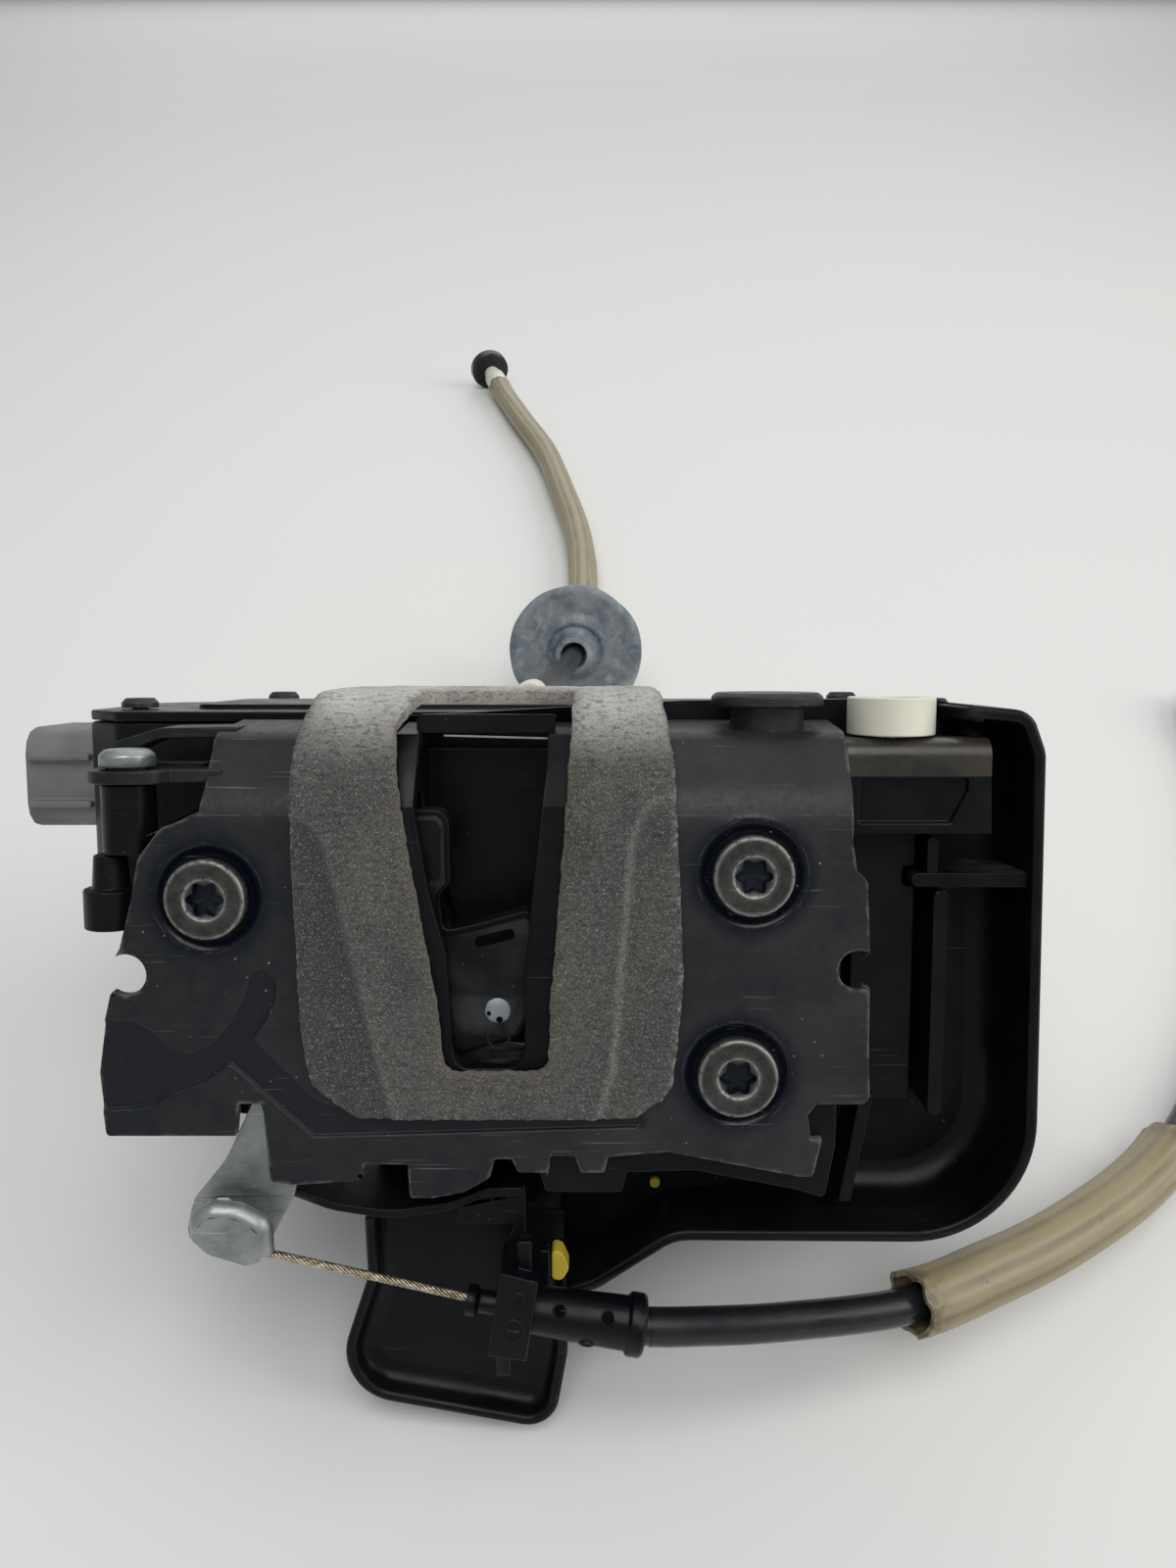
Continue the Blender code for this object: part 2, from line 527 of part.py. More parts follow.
def make_release_cable():
    make_release_lever()
    x, z = LEVER_PIVOT
    cylinder("lever_pin", (x, PLATE + GAP, z), (0, 1, 0), 1.9, 6.0)
    cut(bpy.data.objects["mechanism_case"], hole(x, z, 2.2, -5.0, 9.0), lever_room())
    cylinder("cable_nipple", (NIPPLE[0], -2.0, NIPPLE[1] - 1.2), (0, 1, 0), 2.3, 3.9)
    slope = radians(WIRE_SLOPE)
    along = Vector((cos(slope), 0.0, -sin(slope)))
    mid = Vector(FERRULE_NOSE) + ferrule_axis() * 4.6
    inner = mid - along * 3.0
    outer_x = NIPPLE[0] + 2.3 + GAP
    outer = mid - along * ((mid.x - outer_x) / along.x)
    tube("cable_wire", [outer, inner], WIRE_RADIUS, 2)


def lever_room():
    """Space in the case for the lever's swing behind the plate."""
    x, z = LEVER_PIVOT
    room = [(x - 9.0, z + 6.0), (x + 8.5, z + 6.0), (x + 12.0, -30.0), (x - 14.0, -30.0)]
    return prism("room", room, -5.0, LEVER_PLATE[1] + 0.4)


def ferrule_axis():
    slope = radians(FERRULE_SLOPE)
    return Vector((cos(slope), 0.0, -sin(slope)))


def make_outer_ferrule():
    bore = 1.3
    barrel = [(0.0, 29.6), (4.6, 29.6), (5.0, 29.0), (5.0, 27.0), (4.3, 26.6), (3.9, 12.0), (3.6, 5.8),
              (1.85, 5.2), (1.85, 2.0), (2.5, 1.6), (2.5, 0.0), (bore, 0.0), (bore, 13.0), (0.0, 13.0)]
    return turned("outer_cable_ferrule", barrel, FERRULE_NOSE, ferrule_axis(), 20)


def make_clip_and_bracket():
    clip = prism("ferrule_clip", fillet([(1.0, -35.9), (7.1, -37.5), (5.0, -50.9), (-1.2, -50.0)]), -5.4, 5.4)
    top = prism("prong", [(3.6, -32.1), (5.8, -32.1), (5.8, -38.0), (3.6, -38.0)], -2.6, 0.4)
    low = prism("prong", [(-0.2, -49.6), (2.4, -49.6), (2.2, -55.2), (0.0, -55.2)], -2.6, 0.4)
    join(clip, top, low)
    bore_start = Vector(FERRULE_NOSE) - ferrule_axis() * 6.0
    cut(clip, cylinder("bore", bore_start, ferrule_axis(), 4.2, 26.0, 28))
    strip = fillet([(-34.0, -26.4), (-27.0, -29.0, 8.0), (-18.0, -30.4, 12.0), (-8.0, -28.8, 8.0),
                    (-1.8, -26.4), (4.4, -26.3), (4.6, -38.0), (8.4, -38.0), (8.4, -50.0), (0.5, -50.0),
                    (0.5, -38.0), (2.6, -33.3), (-7.2, -33.3), (-7.0, -30.4), (-18.0, -31.9, 12.0),
                    (-28.0, -30.3, 8.0), (-34.4, -27.8)])
    bracket = prism("cable_bracket", strip, 5.8, 8.4)
    shelf = fillet([(-34.0, -26.4), (-27.0, -29.0, 8.0), (-18.0, -30.4, 12.0), (-8.0, -28.8, 8.0),
                    (-1.8, -26.4), (4.0, -26.3), (4.0, -28.0), (-2.0, -28.0), (-8.0, -30.4, 8.0),
                    (-18.0, -31.9, 12.0), (-28.0, -30.3, 8.0), (-34.4, -27.8)])
    join(bracket, prism("shelf", shelf, 4.6, 25.6))
    stub = prism("stub", [(4.4, -40.6), (8.4, -40.6), (8.4, -43.4), (4.4, -43.4)], 8.0, 13.2)
    join(bracket, stub)
    stop = fillet([(8.7, -39.4, 0.8), (10.6, -40.0, 1.0), (11.8, -42.8, 1.2), (10.6, -44.9, 1.0),
                   (8.7, -44.9, 0.8)])
    prism("yellow_stop", stop, 8.8, 13.2)
    cylinder("yellow_plug", (27.3, 24.4, -34.6), (0, 1, 0), 0.95, 1.3, 16)


# ---------------------------------------------------------------- tray, block, housings

def make_side_tray():
    """The moulded shield behind the latch: a wall with a deep rim on the right, and a shallow lower tab."""
    outer = fillet([(-52.0, 40.0, 3.0), (-44.0, 50.0, 3.0), (32.0, 54.4), (76.0, 54.8), (88.4, 53.0, 4.0),
                    (90.6, 46.0, 4.0), (92.4, -17.0, 10.0), (88.6, -29.5, 8.0), (79.5, -38.4, 8.0),
                    (66.0, -39.0, 6.0), (30.0, -38.6, 3.0), (17.0, -47.2, 3.0), (10.4, -49.6, 0.6),
                    (9.0, -36.4), (-23.6, -36.4), (-23.6, -22.0, 2.0), (-50.0, -16.0, 3.0)])
    tray = prism("side_tray", outer, TRAY_FRONT, TRAY_WALL[1])
    inner = fillet([(-90.0, 90.0), (78.0, 90.0), (79.0, 52.3), (86.6, 51.2, 3.0), (88.4, 45.6, 3.0),
                    (90.2, -17.0, 9.0), (86.8, -28.2, 7.0), (78.8, -36.2, 6.0), (66.0, -36.8, 5.0),
                    (29.4, -36.4, 3.0), (16.0, -45.2, 2.0), (8.0, -48.2), (-90.0, -48.2)])
    cut(tray, prism("inside", inner, -20.0, TRAY_WALL[0]))
    ribs = [box("shelf", (69.5, 12.0, 23.2), (89.6, 27.0, 25.6)),
            box("fin", (72.2, 12.0, 24.6), (74.0, 27.0, 31.6)),
            box("fin", (73.5, 12.0, -16.5), (75.9, 27.0, 23.4))]
    return join(tray, *ribs, make_tab())


def make_tab():
    """The lower tab, with its rim and the shelf that carries it."""
    outline = fillet([(11.6, -47.0), (11.4, -59.1, 2.0), (9.6, -70.6, 3.4), TAB_LOW, (-22.4, -67.6, 6.0),
                      (-28.2, -60.0, 4.0), (-23.2, -45.0, 1.5), (-23.6, -34.2), (10.4, -34.2)])
    tab = prism("tab", outline, TRAY_FRONT, TAB_WALL[1])
    inside = fillet([(9.2, -49.0), (9.0, -59.0, 2.0), (7.4, -68.6, 2.4), (4.0, -70.7, 1.5),
                     (-21.4, -65.4, 4.5), (-25.8, -59.7, 3.0), (-20.8, -45.0), (-29.0, -45.0),
                     (-29.0, -20.0), (20.0, -20.0), (20.0, -46.8), (9.2, -46.8)])
    cut(tab, prism("inside", inside, 0.0, TAB_WALL[0]))
    return join(tab, box("shelf", (-23.4, TAB_WALL[0] + 0.2, -37.0), (10.6, TRAY_WALL[0] + 1.0, -34.4)))


def make_key_lock_housing():
    block = prism("key_lock_housing", [(57.6, 32.6), (82.2, 32.6), (81.6, 48.3), (57.6, 48.3)], 10.0, 25.6)
    chamfer = prism("chamfer", [(4.0, 49.5), (14.0, 49.5), (4.0, 41.0)], 50.0, 90.0, "x")
    cut(block, chamfer)
    recess = fillet([(60.0, 41.8), (78.0, 41.9), (78.0, 40.0, 0.5), (75.2, 34.4, 0.5), (60.0, 34.4)])
    cut(block, prism("recess", recess, 5.0, 11.2))
    join(block, box("wall", (60.4, 16.0, -15.4), (71.3, 25.6, 33.5)))
    cut(block, box("notch", (69.2, 10.0, 22.8), (80.0, 30.0, 26.0)))
    strut = [(61.6, -13.0), (64.2, -13.0), (60.6, -32.4), (58.4, -32.4)]
    join(block, prism("strut", strut, 12.0, 22.0), prism("foot", strut_foot(), 16.5, 22.0))
    return block


def strut_foot():
    """The web between the strut and the wall behind it."""
    return [(60.9, -11.0), (66.0, -11.0), (64.2, -17.0), (61.0, -17.0)]


def make_key_bush():
    profile = [(7.4, 6.4), (7.4, 0.0), (3.0, 0.0), (3.0, 4.6), (4.6, 4.6), (4.6, 6.4)]
    return turned("key_bush", profile, (*KEY_BUSH, KEY_BUSH_LOW), (0, 0, 1), 28)


def make_main_housing():
    outline = fillet([(HOUSING_LEFT, 36.0, 3.0), (-70.0, HOUSING_FRONT, 3.0), (HOUSING_RIGHT - 6.0,
                     HOUSING_FRONT, 2.0), (HOUSING_RIGHT, 36.0, 2.0), (HOUSING_RIGHT, 78.0, 6.0),
                     (72.0, 92.0, 6.0), (-52.0, 92.0, 6.0), (HOUSING_LEFT, 74.0, 6.0)])
    inner = fillet([(HOUSING_LEFT + WALL, 37.0, 2.0), (-69.2, HOUSING_FRONT + WALL, 2.0),
                    (HOUSING_RIGHT - 7.0, HOUSING_FRONT + WALL, 1.0), (HOUSING_RIGHT - WALL, 37.0, 1.0),
                    (HOUSING_RIGHT - WALL, 77.0, 5.0), (71.0, 90.0, 5.0), (-51.0, 90.0, 5.0),
                    (HOUSING_LEFT + WALL, 73.0, 5.0)])
    housing = prism("main_housing", outline, HOUSING_LOW, HOUSING_HIGH, "z")
    cut(housing, prism("inside", inner, HOUSING_LOW + WALL, HOUSING_HIGH + 5.0, "z"))
    for x, y in COVER_SCREWS:
        boss_low = HOUSING_LOW + 1.0
        join(housing, cylinder("boss", (x, y, boss_low), (0, 0, 1), 3.6, HOUSING_HIGH - boss_low, 16))
        cut(housing, cylinder("bore", (x, y, HOUSING_HIGH - 9.0), (0, 0, 1), 1.9, 20.0, 16))
    return outline


def make_housing_cover(outline):
    cover = prism("housing_cover", outline, HOUSING_HIGH + GAP, HOUSING_HIGH + 2.1, "z")
    rib = fillet([(-60.0, 40.0, 4.0), (70.0, 40.0, 4.0), (70.0, 74.0, 4.0), (-60.0, 74.0, 4.0)])
    join(cover, prism("step", rib, HOUSING_HIGH + 1.0, HOUSING_HIGH + 3.0, "z"))
    for x, y in COVER_SCREWS:
        cut(cover, cylinder("bore", (x, y, HOUSING_HIGH - 2.0), (0, 0, 1), 1.9, 20.0, 16))
    x, y, z = INNER_FERRULE
    return cut(cover, box("channel", (x - 3.7, y - 1.0, z - 6.0), (x + 3.7, 99.0, z + 6.0)))


def make_cover_screws():
    for number, (x, y) in enumerate(COVER_SCREWS, 1):
        top = 2.4
        profile = [(0.0, top + 1.8), (2.6, top + 1.8), (3.4, top + 0.9), (3.4, top), (1.5, top), (1.5, -7.0),
                   (0.0, -7.0)]
        screw = turned(f"cover_screw_{number}", profile, (x, y, HOUSING_HIGH), (0, 0, 1), 16)
        cut(screw, prism("socket", star((x, y), 1.25, 0.22, 6, 18), HOUSING_HIGH + top + 0.8,
                         HOUSING_HIGH + 8.0, "z"))


def make_lower_case():
    """The gear case under the housing, which the latch stands on at the back."""
    side = fillet([(HOUSING_FRONT, -16.0, 2.0), (60.0, -18.0, 8.0), (84.0, FOOT_Z, 3.0),
                   (REAR, FOOT_Z), (REAR, 6.0, 3.0), (87.0, HOUSING_LOW - GAP, 2.0),
                   (HOUSING_FRONT, HOUSING_LOW - GAP)])
    case = prism("lower_case", side, -26.0, 52.0, "x")
    hollow = fillet([(HOUSING_FRONT + WALL, -13.6, 2.0), (60.0, -15.6, 6.0), (85.0, FOOT_Z + 2.6, 3.0),
                     (REAR - WALL, FOOT_Z + 2.6, 1.0), (REAR - WALL, 5.6, 3.0), (86.0, 40.0),
                     (HOUSING_FRONT + WALL, 40.0)])
    cut(case, prism("inside", hollow, -26.0 + WALL, 52.0 - WALL, "x"))
    x, y = WHEEL_PIVOT
    join(case, cylinder("boss", (x, y, -17.0), (0, 0, 1), 5.0, 11.0, 16))
    return cut(case, cylinder("bore", (x, y, -10.0), (0, 0, 1), 2.4, 20.0, 16))


def make_lock_drive():
    """Motor, worm and worm wheel in the gear case."""
    x, y = WHEEL_PIVOT
    flat = MOTOR_RADIUS - 1.5
    motor = cylinder("lock_motor", (-23.4, WORM_Y, GEAR_Z), (1, 0, 0), MOTOR_RADIUS, 29.0, 28)
    slab = [(-60.0, GEAR_Z - flat), (60.0, GEAR_Z - flat), (60.0, GEAR_Z + flat), (-60.0, GEAR_Z + flat)]
    common(motor, prism("flats", slab, 0.0, 90.0))
    thread = [(0.0, 34.0)]
    for n in range(4):
        along = 32.0 - n * 5.0
        thread += [(WORM_RADIUS, along), (WORM_RADIUS, along - 1.4), (WORM_RADIUS - 1.0, along - 1.9),
                   (WORM_RADIUS - 1.0, along - 3.1)]
    thread += [(1.4, 11.0), (1.4, 0.0), (0.0, 0.0)]
    turned("motor_worm", thread, (5.9, WORM_Y, GEAR_Z), (1, 0, 0), 14)
    rim = []
    for n in range(WHEEL_TEETH):
        middle = 360.0 * n / WHEEL_TEETH
        rim += arc((x, y), WHEEL_RADIUS, middle - 2.4, middle + 2.4, 12.0)
        rim += arc((x, y), WHEEL_RADIUS - 1.2, middle + 5.0, middle + 7.0, 12.0)
    wheel = prism("worm_wheel", rim, GEAR_Z - 3.0, GEAR_Z + 3.0, "z")
    join(wheel, cylinder("cam", (x + 6.0, y, GEAR_Z + 2.0), (0, 0, 1), 2.4, 6.0, 16))
    cut(wheel, cylinder("bore", (x, y, GEAR_Z - 10.0), (0, 0, 1), 2.4, 30.0, 16))
    cylinder("wheel_pin", (x, y, -9.6), (0, 0, 1), 2.0, 22.0, 16)


def make_lock_levers():
    """The lock lever, its pin, the switch and the circuit board inside the main housing."""
    x, y = LOCK_LEVER_PIVOT
    floor = HOUSING_LOW + WALL + GAP
    hub = arc((x, y), 6.0, -60.0, 240.0, 20.0)
    arm = fillet([hub[-1], (x - 4.0, y - 30.0, 2.0), (x + 4.0, y - 30.0, 2.0), hub[0]])
    lever = prism("lock_lever", hub[1:-1] + arm, floor + 4.0, floor + 8.0, "z")
    cut(lever, cylinder("bore", (x, y, floor - 5.0), (0, 0, 1), 2.6, 30.0, 16))
    cylinder("lock_lever_pin", (x, y, floor), (0, 0, 1), 2.2, 14.0, 16)
    box("circuit_board", (-66.0, 42.0, floor + 20.0), (-22.0, 76.0, floor + 21.6))
    box("micro_switch", (-20.0, 34.0, floor), (-7.0, 41.0, floor + 8.0))


def make_connector():
    outer = fillet([(41.0, 29.0, 5.0), (67.0, 29.0, 5.0), (67.0, 48.4, 5.0), (41.0, 48.4, 5.0)])
    shell = prism("connector_shell", outer, -93.0, HOUSING_LEFT - GAP, "x")
    inner = fillet([(43.0, 31.0, 3.4), (65.0, 31.0, 3.4), (65.0, 46.4, 3.4), (43.0, 46.4, 3.4)])
    cut(shell, prism("socket", inner, -99.0, -82.0, "x"))
    join(shell, box("keys", (-92.0, 39.4, 42.2), (-80.0, 41.6, 43.6)),
         box("keys", (-92.0, 39.4, 33.2), (-80.0, 41.6, 34.6)))
    comb = box("connector_terminals", (-81.7, 46.0, 33.0), (-80.9, 62.0, 35.4))
    cut(shell, box("seat", (-83.0, 45.7, 32.7), (-80.6, 62.3, 35.7)))
    for n in range(6):
        y = 46.6 + n * 2.8
        join(comb, box("blade", (-89.5, y, 33.8), (-81.3, y + 1.0, 34.6)))


# ---------------------------------------------------------------- the cables on the table

def smooth_route(route, step=3.0):
    """A smooth curve through the route's points, sampled every few millimetres."""
    knots = [Vector(point) for point in route]
    knots = [2 * knots[0] - knots[1]] + knots + [2 * knots[-1] - knots[-2]]
    points = []
    for a, b, c, d in zip(knots, knots[1:], knots[2:], knots[3:]):
        steps = max(1, round((c - b).length / step))
        for n in range(steps):
            t = n / steps
            points.append(0.5 * (2 * b + (c - a) * t + (2 * a - 5 * b + 4 * c - d) * t ** 2
                                 + (3 * b - a - 3 * c + d) * t ** 3))
    points.append(knots[-2])
    return points


def along(points, distance):
    """The place and the direction at a distance along a line of points."""
    gone = 0.0
    for before, after in zip(points, points[1:]):
        run = (after - before).length
        if gone + run >= distance:
            break
        gone += run
    way = (after - before).normalized()
    return before + way * (distance - gone), way


def route_length(points):
    return sum((after - before).length for before, after in zip(points, points[1:]))


def stretch(name, points, start, end, radius, spacing):
    """A plain tube along part of a route."""
    count = max(2, round((end - start) / spacing))
    places = [along(points, start + (end - start) * n / count)[0] for n in range(count + 1)]
    return tube(name, places, radius)


def make_outer_cable():
    points = smooth_route(OUTER_ROUTE)
    total = route_length(points)
    low, high = OUTER_SLEEVE
    stretch("outer_cable_conduit_a", points, 0.0, low - CABLE_GAP, CONDUIT_RADIUS, 12.0)
    stretch("outer_cable_sleeve", points, low, high, SLEEVE_RADIUS, 12.0)
    stretch("outer_cable_conduit_b", points, high + CABLE_GAP, total, CONDUIT_RADIUS, 14.0)
    place, way = along(points, total)
    profile = [(0.0, 26.0), (2.6, 26.0), (2.6, 23.4), (1.6, 23.0), (1.6, 20.0), (3.4, 19.4), (3.8, 10.0),
               (4.3, 2.4), (4.3, 0.0), (0.0, 0.0)]
    turned("outer_cable_end_fitting", profile, place + way * GAP, way, 16)


def make_inner_ferrule():
    x, y, z = INNER_FERRULE
    body = [(0.0, INNER_FERRULE_LENGTH), (2.6, INNER_FERRULE_LENGTH), (3.3, INNER_FERRULE_LENGTH - 1.4),
            (3.3, 12.0), (2.5, 11.4), (2.5, 8.6), (3.3, 8.0), (3.3, 0.6), (2.7, 0.0), (0.0, 0.0)]
    turned("inner_cable_ferrule", body, (x, y, z), (0, 1, 0), 20)


def make_inner_cable():
    points = smooth_route(INNER_ROUTE)
    total = route_length(points)
    stretch("inner_cable_conduit", points, 0.0, GROMMET_AT - 7.3, CONDUIT_RADIUS, 13.0)
    place, way = along(points, GROMMET_AT)
    rim = GROMMET_RADIUS
    disc = [(0.0, 9.0), (6.6, 9.0), (7.4, 4.0), (rim - 2.0, 2.0), (rim, 1.2), (rim, -1.2),
            (rim - 2.4, -2.0), (11.0, -1.0), (6.4, -3.0), (5.4, -7.0), (0.0, -7.0)]
    turned("cable_grommet", disc, place, way, 32)
    stretch("inner_cable_sleeve", points, GROMMET_AT + 9.3, total - 29.0, SLEEVE_RADIUS, 15.0)
    place, way = along(points, total - 28.6)
    fitting = [(0.0, 18.0), (4.2, 18.0), (4.2, 12.0), (5.6, 11.0), (5.6, 0.0), (0.0, 0.0)]
    turned("inner_cable_end_fitting", fitting, place, way, 20)
    place, way = along(points, total - 10.2)
    cap = [(0.0, 6.6), (9.4, 6.6), (10.5, 5.8), (10.5, 0.8), (9.6, 0.0), (0.0, 0.0)]
    turned("inner_cable_end_cap", cap, place, way, 28)


# ---------------------------------------------------------------- materials and assembly

FINISHES = {
    "plate_steel": ((0.035, 0.037, 0.042), 0.42, 0.6),
    "bright_steel": ((0.42, 0.41, 0.39), 0.35, 1.0),
    "zinc": ((0.42, 0.46, 0.46), 0.45, 0.9),
    "screw_steel": ((0.16, 0.14, 0.13), 0.38, 1.0),
    "black_plastic": ((0.018, 0.018, 0.02), 0.45, 0.0),
    "grey_plastic": ((0.09, 0.095, 0.10), 0.6, 0.0),
    "foam": ((0.13, 0.125, 0.115), 0.95, 0.0),
    "white_plastic": ((0.75, 0.74, 0.68), 0.45, 0.0),
    "yellow_plastic": ((0.78, 0.62, 0.06), 0.45, 0.0),
    "cable_jacket": ((0.012, 0.012, 0.013), 0.4, 0.0),
    "wire_strand": ((0.45, 0.38, 0.28), 0.35, 1.0),
    "sleeve_tan": ((0.50, 0.38, 0.20), 0.55, 0.0),
    "grommet_rubber": ((0.16, 0.20, 0.24), 0.7, 0.0),
    "board_green": ((0.03, 0.14, 0.06), 0.5, 0.0),
    "brass": ((0.62, 0.48, 0.22), 0.35, 1.0),
}

USES = {
    "plate_steel": ["face_plate", "back_plate", "disc_stud"],
    "bright_steel": ["pawl", "claw_pin", "pawl_pin", "claw_spring", "pawl_spring", "lever_pin",
                     "lock_motor", "wheel_pin", "lock_lever_pin"],
    "zinc": ["release_lever", "corner_rivet", "cable_nipple"],
    "screw_steel": ["mount_screw_left", "mount_screw_upper", "mount_screw_lower", "cover_screw_1",
                    "cover_screw_2", "cover_screw_3", "cover_screw_4", "cover_screw_5"],
    "black_plastic": ["mouth_liner", "mechanism_case", "claw", "claw_cover", "side_tray", "key_lock_housing",
                      "main_housing", "housing_cover", "lower_case", "corner_sleeve", "corner_cup",
                      "cable_bracket", "ferrule_clip", "outer_cable_ferrule", "micro_switch", "lock_lever"],
    "grey_plastic": ["connector_shell"],
    "foam": ["foam_gasket"],
    "white_plastic": ["key_bush", "worm_wheel", "motor_worm", "inner_cable_ferrule",
                      "inner_cable_end_fitting"],
    "cable_jacket": ["outer_cable_conduit_a", "outer_cable_conduit_b", "outer_cable_end_fitting",
                     "inner_cable_conduit", "inner_cable_end_cap"],
    "sleeve_tan": ["outer_cable_sleeve", "inner_cable_sleeve"],
    "grommet_rubber": ["cable_grommet"],
    "yellow_plastic": ["yellow_stop", "yellow_plug"],
    "wire_strand": ["cable_wire"],
    "board_green": ["circuit_board"],
    "brass": ["connector_terminals"],
}


def make_finish(name):
    colour, roughness, metallic = FINISHES[name]
    finish = bpy.data.materials.new(name)
    finish.use_nodes = True
    shader = finish.node_tree.nodes["Principled BSDF"]
    shader.inputs["Base Color"].default_value = (*colour, 1.0)
    shader.inputs["Roughness"].default_value = roughness
    shader.inputs["Metallic"].default_value = metallic
    finish.diffuse_color = (*colour, 1.0)
    return finish


def finish_nodes(parts):
    for name, nodes in USES.items():
        finish = make_finish(name)
        for node in nodes:
            solid = bpy.data.objects[node]
            solid.data.materials.clear()
            solid.data.materials.append(finish)
            solid.data.shade_smooth()
            solid.data.set_sharp_from_angle(angle=radians(30))
            bpy.context.scene.collection.objects.unlink(solid)
            parts.objects.link(solid)


JOINT_AXES = {
    "claw_pivot": (CLAW_PIVOT[0], CLAW_PLATE[0], CLAW_PIVOT[1], ("claw", "claw_cover")),
    "pawl_pivot": (PAWL_PIVOT[0], PAWL_PLATE[0], PAWL_PIVOT[1], ("pawl",)),
    "release_lever_pivot": (LEVER_PIVOT[0], LEVER_PLATE[0], LEVER_PIVOT[1], ("release_lever",)),
    "cable_core_line": (NIPPLE[0], 0.0, NIPPLE[1], ("cable_nipple", "cable_wire")),
    "key_bush_axis": (*KEY_BUSH, KEY_BUSH_LOW, ("key_bush",)),
    "wheel_axis": (*WHEEL_PIVOT, GEAR_Z, ("worm_wheel",)),
    "worm_axis": (0.0, WORM_Y, GEAR_Z, ("motor_worm",)),
    "lock_lever_axis": (*LOCK_LEVER_PIVOT, HOUSING_LOW, ("lock_lever",)),
}


def hang(tilt, latch, parts):
    """Parents the latch's pieces to the tilt, the moving ones through an empty on their joint's axis."""
    moving = {}
    for name, (x, y, z, nodes) in JOINT_AXES.items():
        empty = bpy.data.objects.new(name, None)
        parts.objects.link(empty)
        empty.parent = tilt
        empty.location = Vector((x, y, z)) * MM
        moving.update({node: empty for node in nodes})
    for solid in latch:
        empty = moving.get(solid.name)
        solid.parent = empty or tilt
        if empty:
            solid.data.transform(Matrix.Translation(-empty.location))


def main():
    for old in list(bpy.data.objects):
        bpy.data.objects.remove(old)
    parts = bpy.data.collections.new("door_latch")
    bpy.context.scene.collection.children.link(parts)

    make_face_plate()
    make_foam_gasket()
    make_mouth_liner()
    for name in SCREWS:
        make_mount_screw(name)
    make_disc_stud()
    make_corner_pieces()
    make_mechanism()
    make_release_cable()
    make_outer_ferrule()
    make_clip_and_bracket()
    make_side_tray()
    make_key_lock_housing()
    make_key_bush()
    outline = make_main_housing()
    make_housing_cover(outline)
    make_cover_screws()
    make_lower_case()
    make_lock_drive()
    make_lock_levers()
    make_connector()
    make_inner_ferrule()
    latch = list(bpy.context.scene.collection.objects)
    make_outer_cable()
    make_inner_cable()
    finish_nodes(parts)

    tilt = bpy.data.objects.new("latch_tilt", None)
    parts.objects.link(tilt)
    tilt.location = Vector(PLACE) * MM
    tilt.rotation_euler = (-radians(LEAN), 0.0, 0.0)
    hang(tilt, latch, parts)


main()
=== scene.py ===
"""The looks of the car door latch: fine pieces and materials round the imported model, on a pale floor."""
import json
from math import atan2, ceil, cos, degrees, pi, radians, sin, tan

import bmesh
import bpy
import numpy as np
from mathutils import Matrix, Vector, noise
from mathutils.geometry import delaunay_2d_cdt
from mathutils.kdtree import KDTree


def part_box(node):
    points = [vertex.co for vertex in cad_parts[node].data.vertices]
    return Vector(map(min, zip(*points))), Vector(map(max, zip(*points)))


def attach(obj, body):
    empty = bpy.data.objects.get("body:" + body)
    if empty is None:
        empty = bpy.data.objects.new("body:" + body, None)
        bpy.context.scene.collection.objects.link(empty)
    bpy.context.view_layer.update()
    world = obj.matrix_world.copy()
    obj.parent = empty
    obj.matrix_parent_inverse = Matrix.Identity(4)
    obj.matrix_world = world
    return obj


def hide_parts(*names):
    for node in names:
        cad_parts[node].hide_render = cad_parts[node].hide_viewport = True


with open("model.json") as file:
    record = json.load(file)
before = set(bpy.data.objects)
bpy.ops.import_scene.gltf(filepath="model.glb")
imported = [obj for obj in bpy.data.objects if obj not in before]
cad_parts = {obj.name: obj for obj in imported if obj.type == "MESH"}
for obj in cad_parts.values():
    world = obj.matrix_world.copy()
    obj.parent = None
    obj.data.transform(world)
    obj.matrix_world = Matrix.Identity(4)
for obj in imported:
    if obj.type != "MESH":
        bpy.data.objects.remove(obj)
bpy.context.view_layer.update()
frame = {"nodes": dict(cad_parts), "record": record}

MM = 0.001
LEAN = 30.0                      # degrees that the latch leans back
PLACE = (0.3, -37.8, 71.22)      # where the latch's own origin stands, in millimetres
LATCH = Matrix.Translation(Vector(PLACE) * MM) @ Matrix.Rotation(-radians(LEAN), 4, "X")

SLOTS = {part["node"]: part["material_slot"] for part in frame["record"]["subparts"]}
BODY_OF = {node: body for body, nodes in frame["record"]["behaviour"]["bodies"].items() for node in nodes}

# The latch's own frame, in millimetres: x right along the face, y back from the face, z up.
BACK = (0, 1, 0)
PLATE = 1.8                      # thickness of the face plate
CHANNEL_DEPTH = 0.5
FOAM_THICK = 2.3
# The bent lines (y, z, radius) that the plate's and the foam's sheets follow.
BEND = [(0.0, -30.0), (0.0, 38.5, 12.0), (8.5, 49.6, 5.0), (24.0, 50.9)]
FOAM_BEND = [(0.0, -30.0), (0.0, 40.0, 12.0), (5.0, 50.5, 6.0), (9.5, 54.2, 5.0), (24.0, 54.6)]
SCREWS = {"mount_screw_left": (-45.4, 23.8), "mount_screw_upper": (41.1, 27.5),
          "mount_screw_lower": (39.0, -5.2)}
SCREW_HEAD = 6.5
HEAD_THICK = 2.6
DISH_DEPTH = 0.8
GAP = 0.3                        # between a screw's head and its dish
LEVER_PIVOT = (-33.8, 0.0, -7.2)
FERRULE_NOSE = Vector((-5.0, 0.0, -43.3))
FERRULE_SLOPE = 8.9              # degrees down to the right
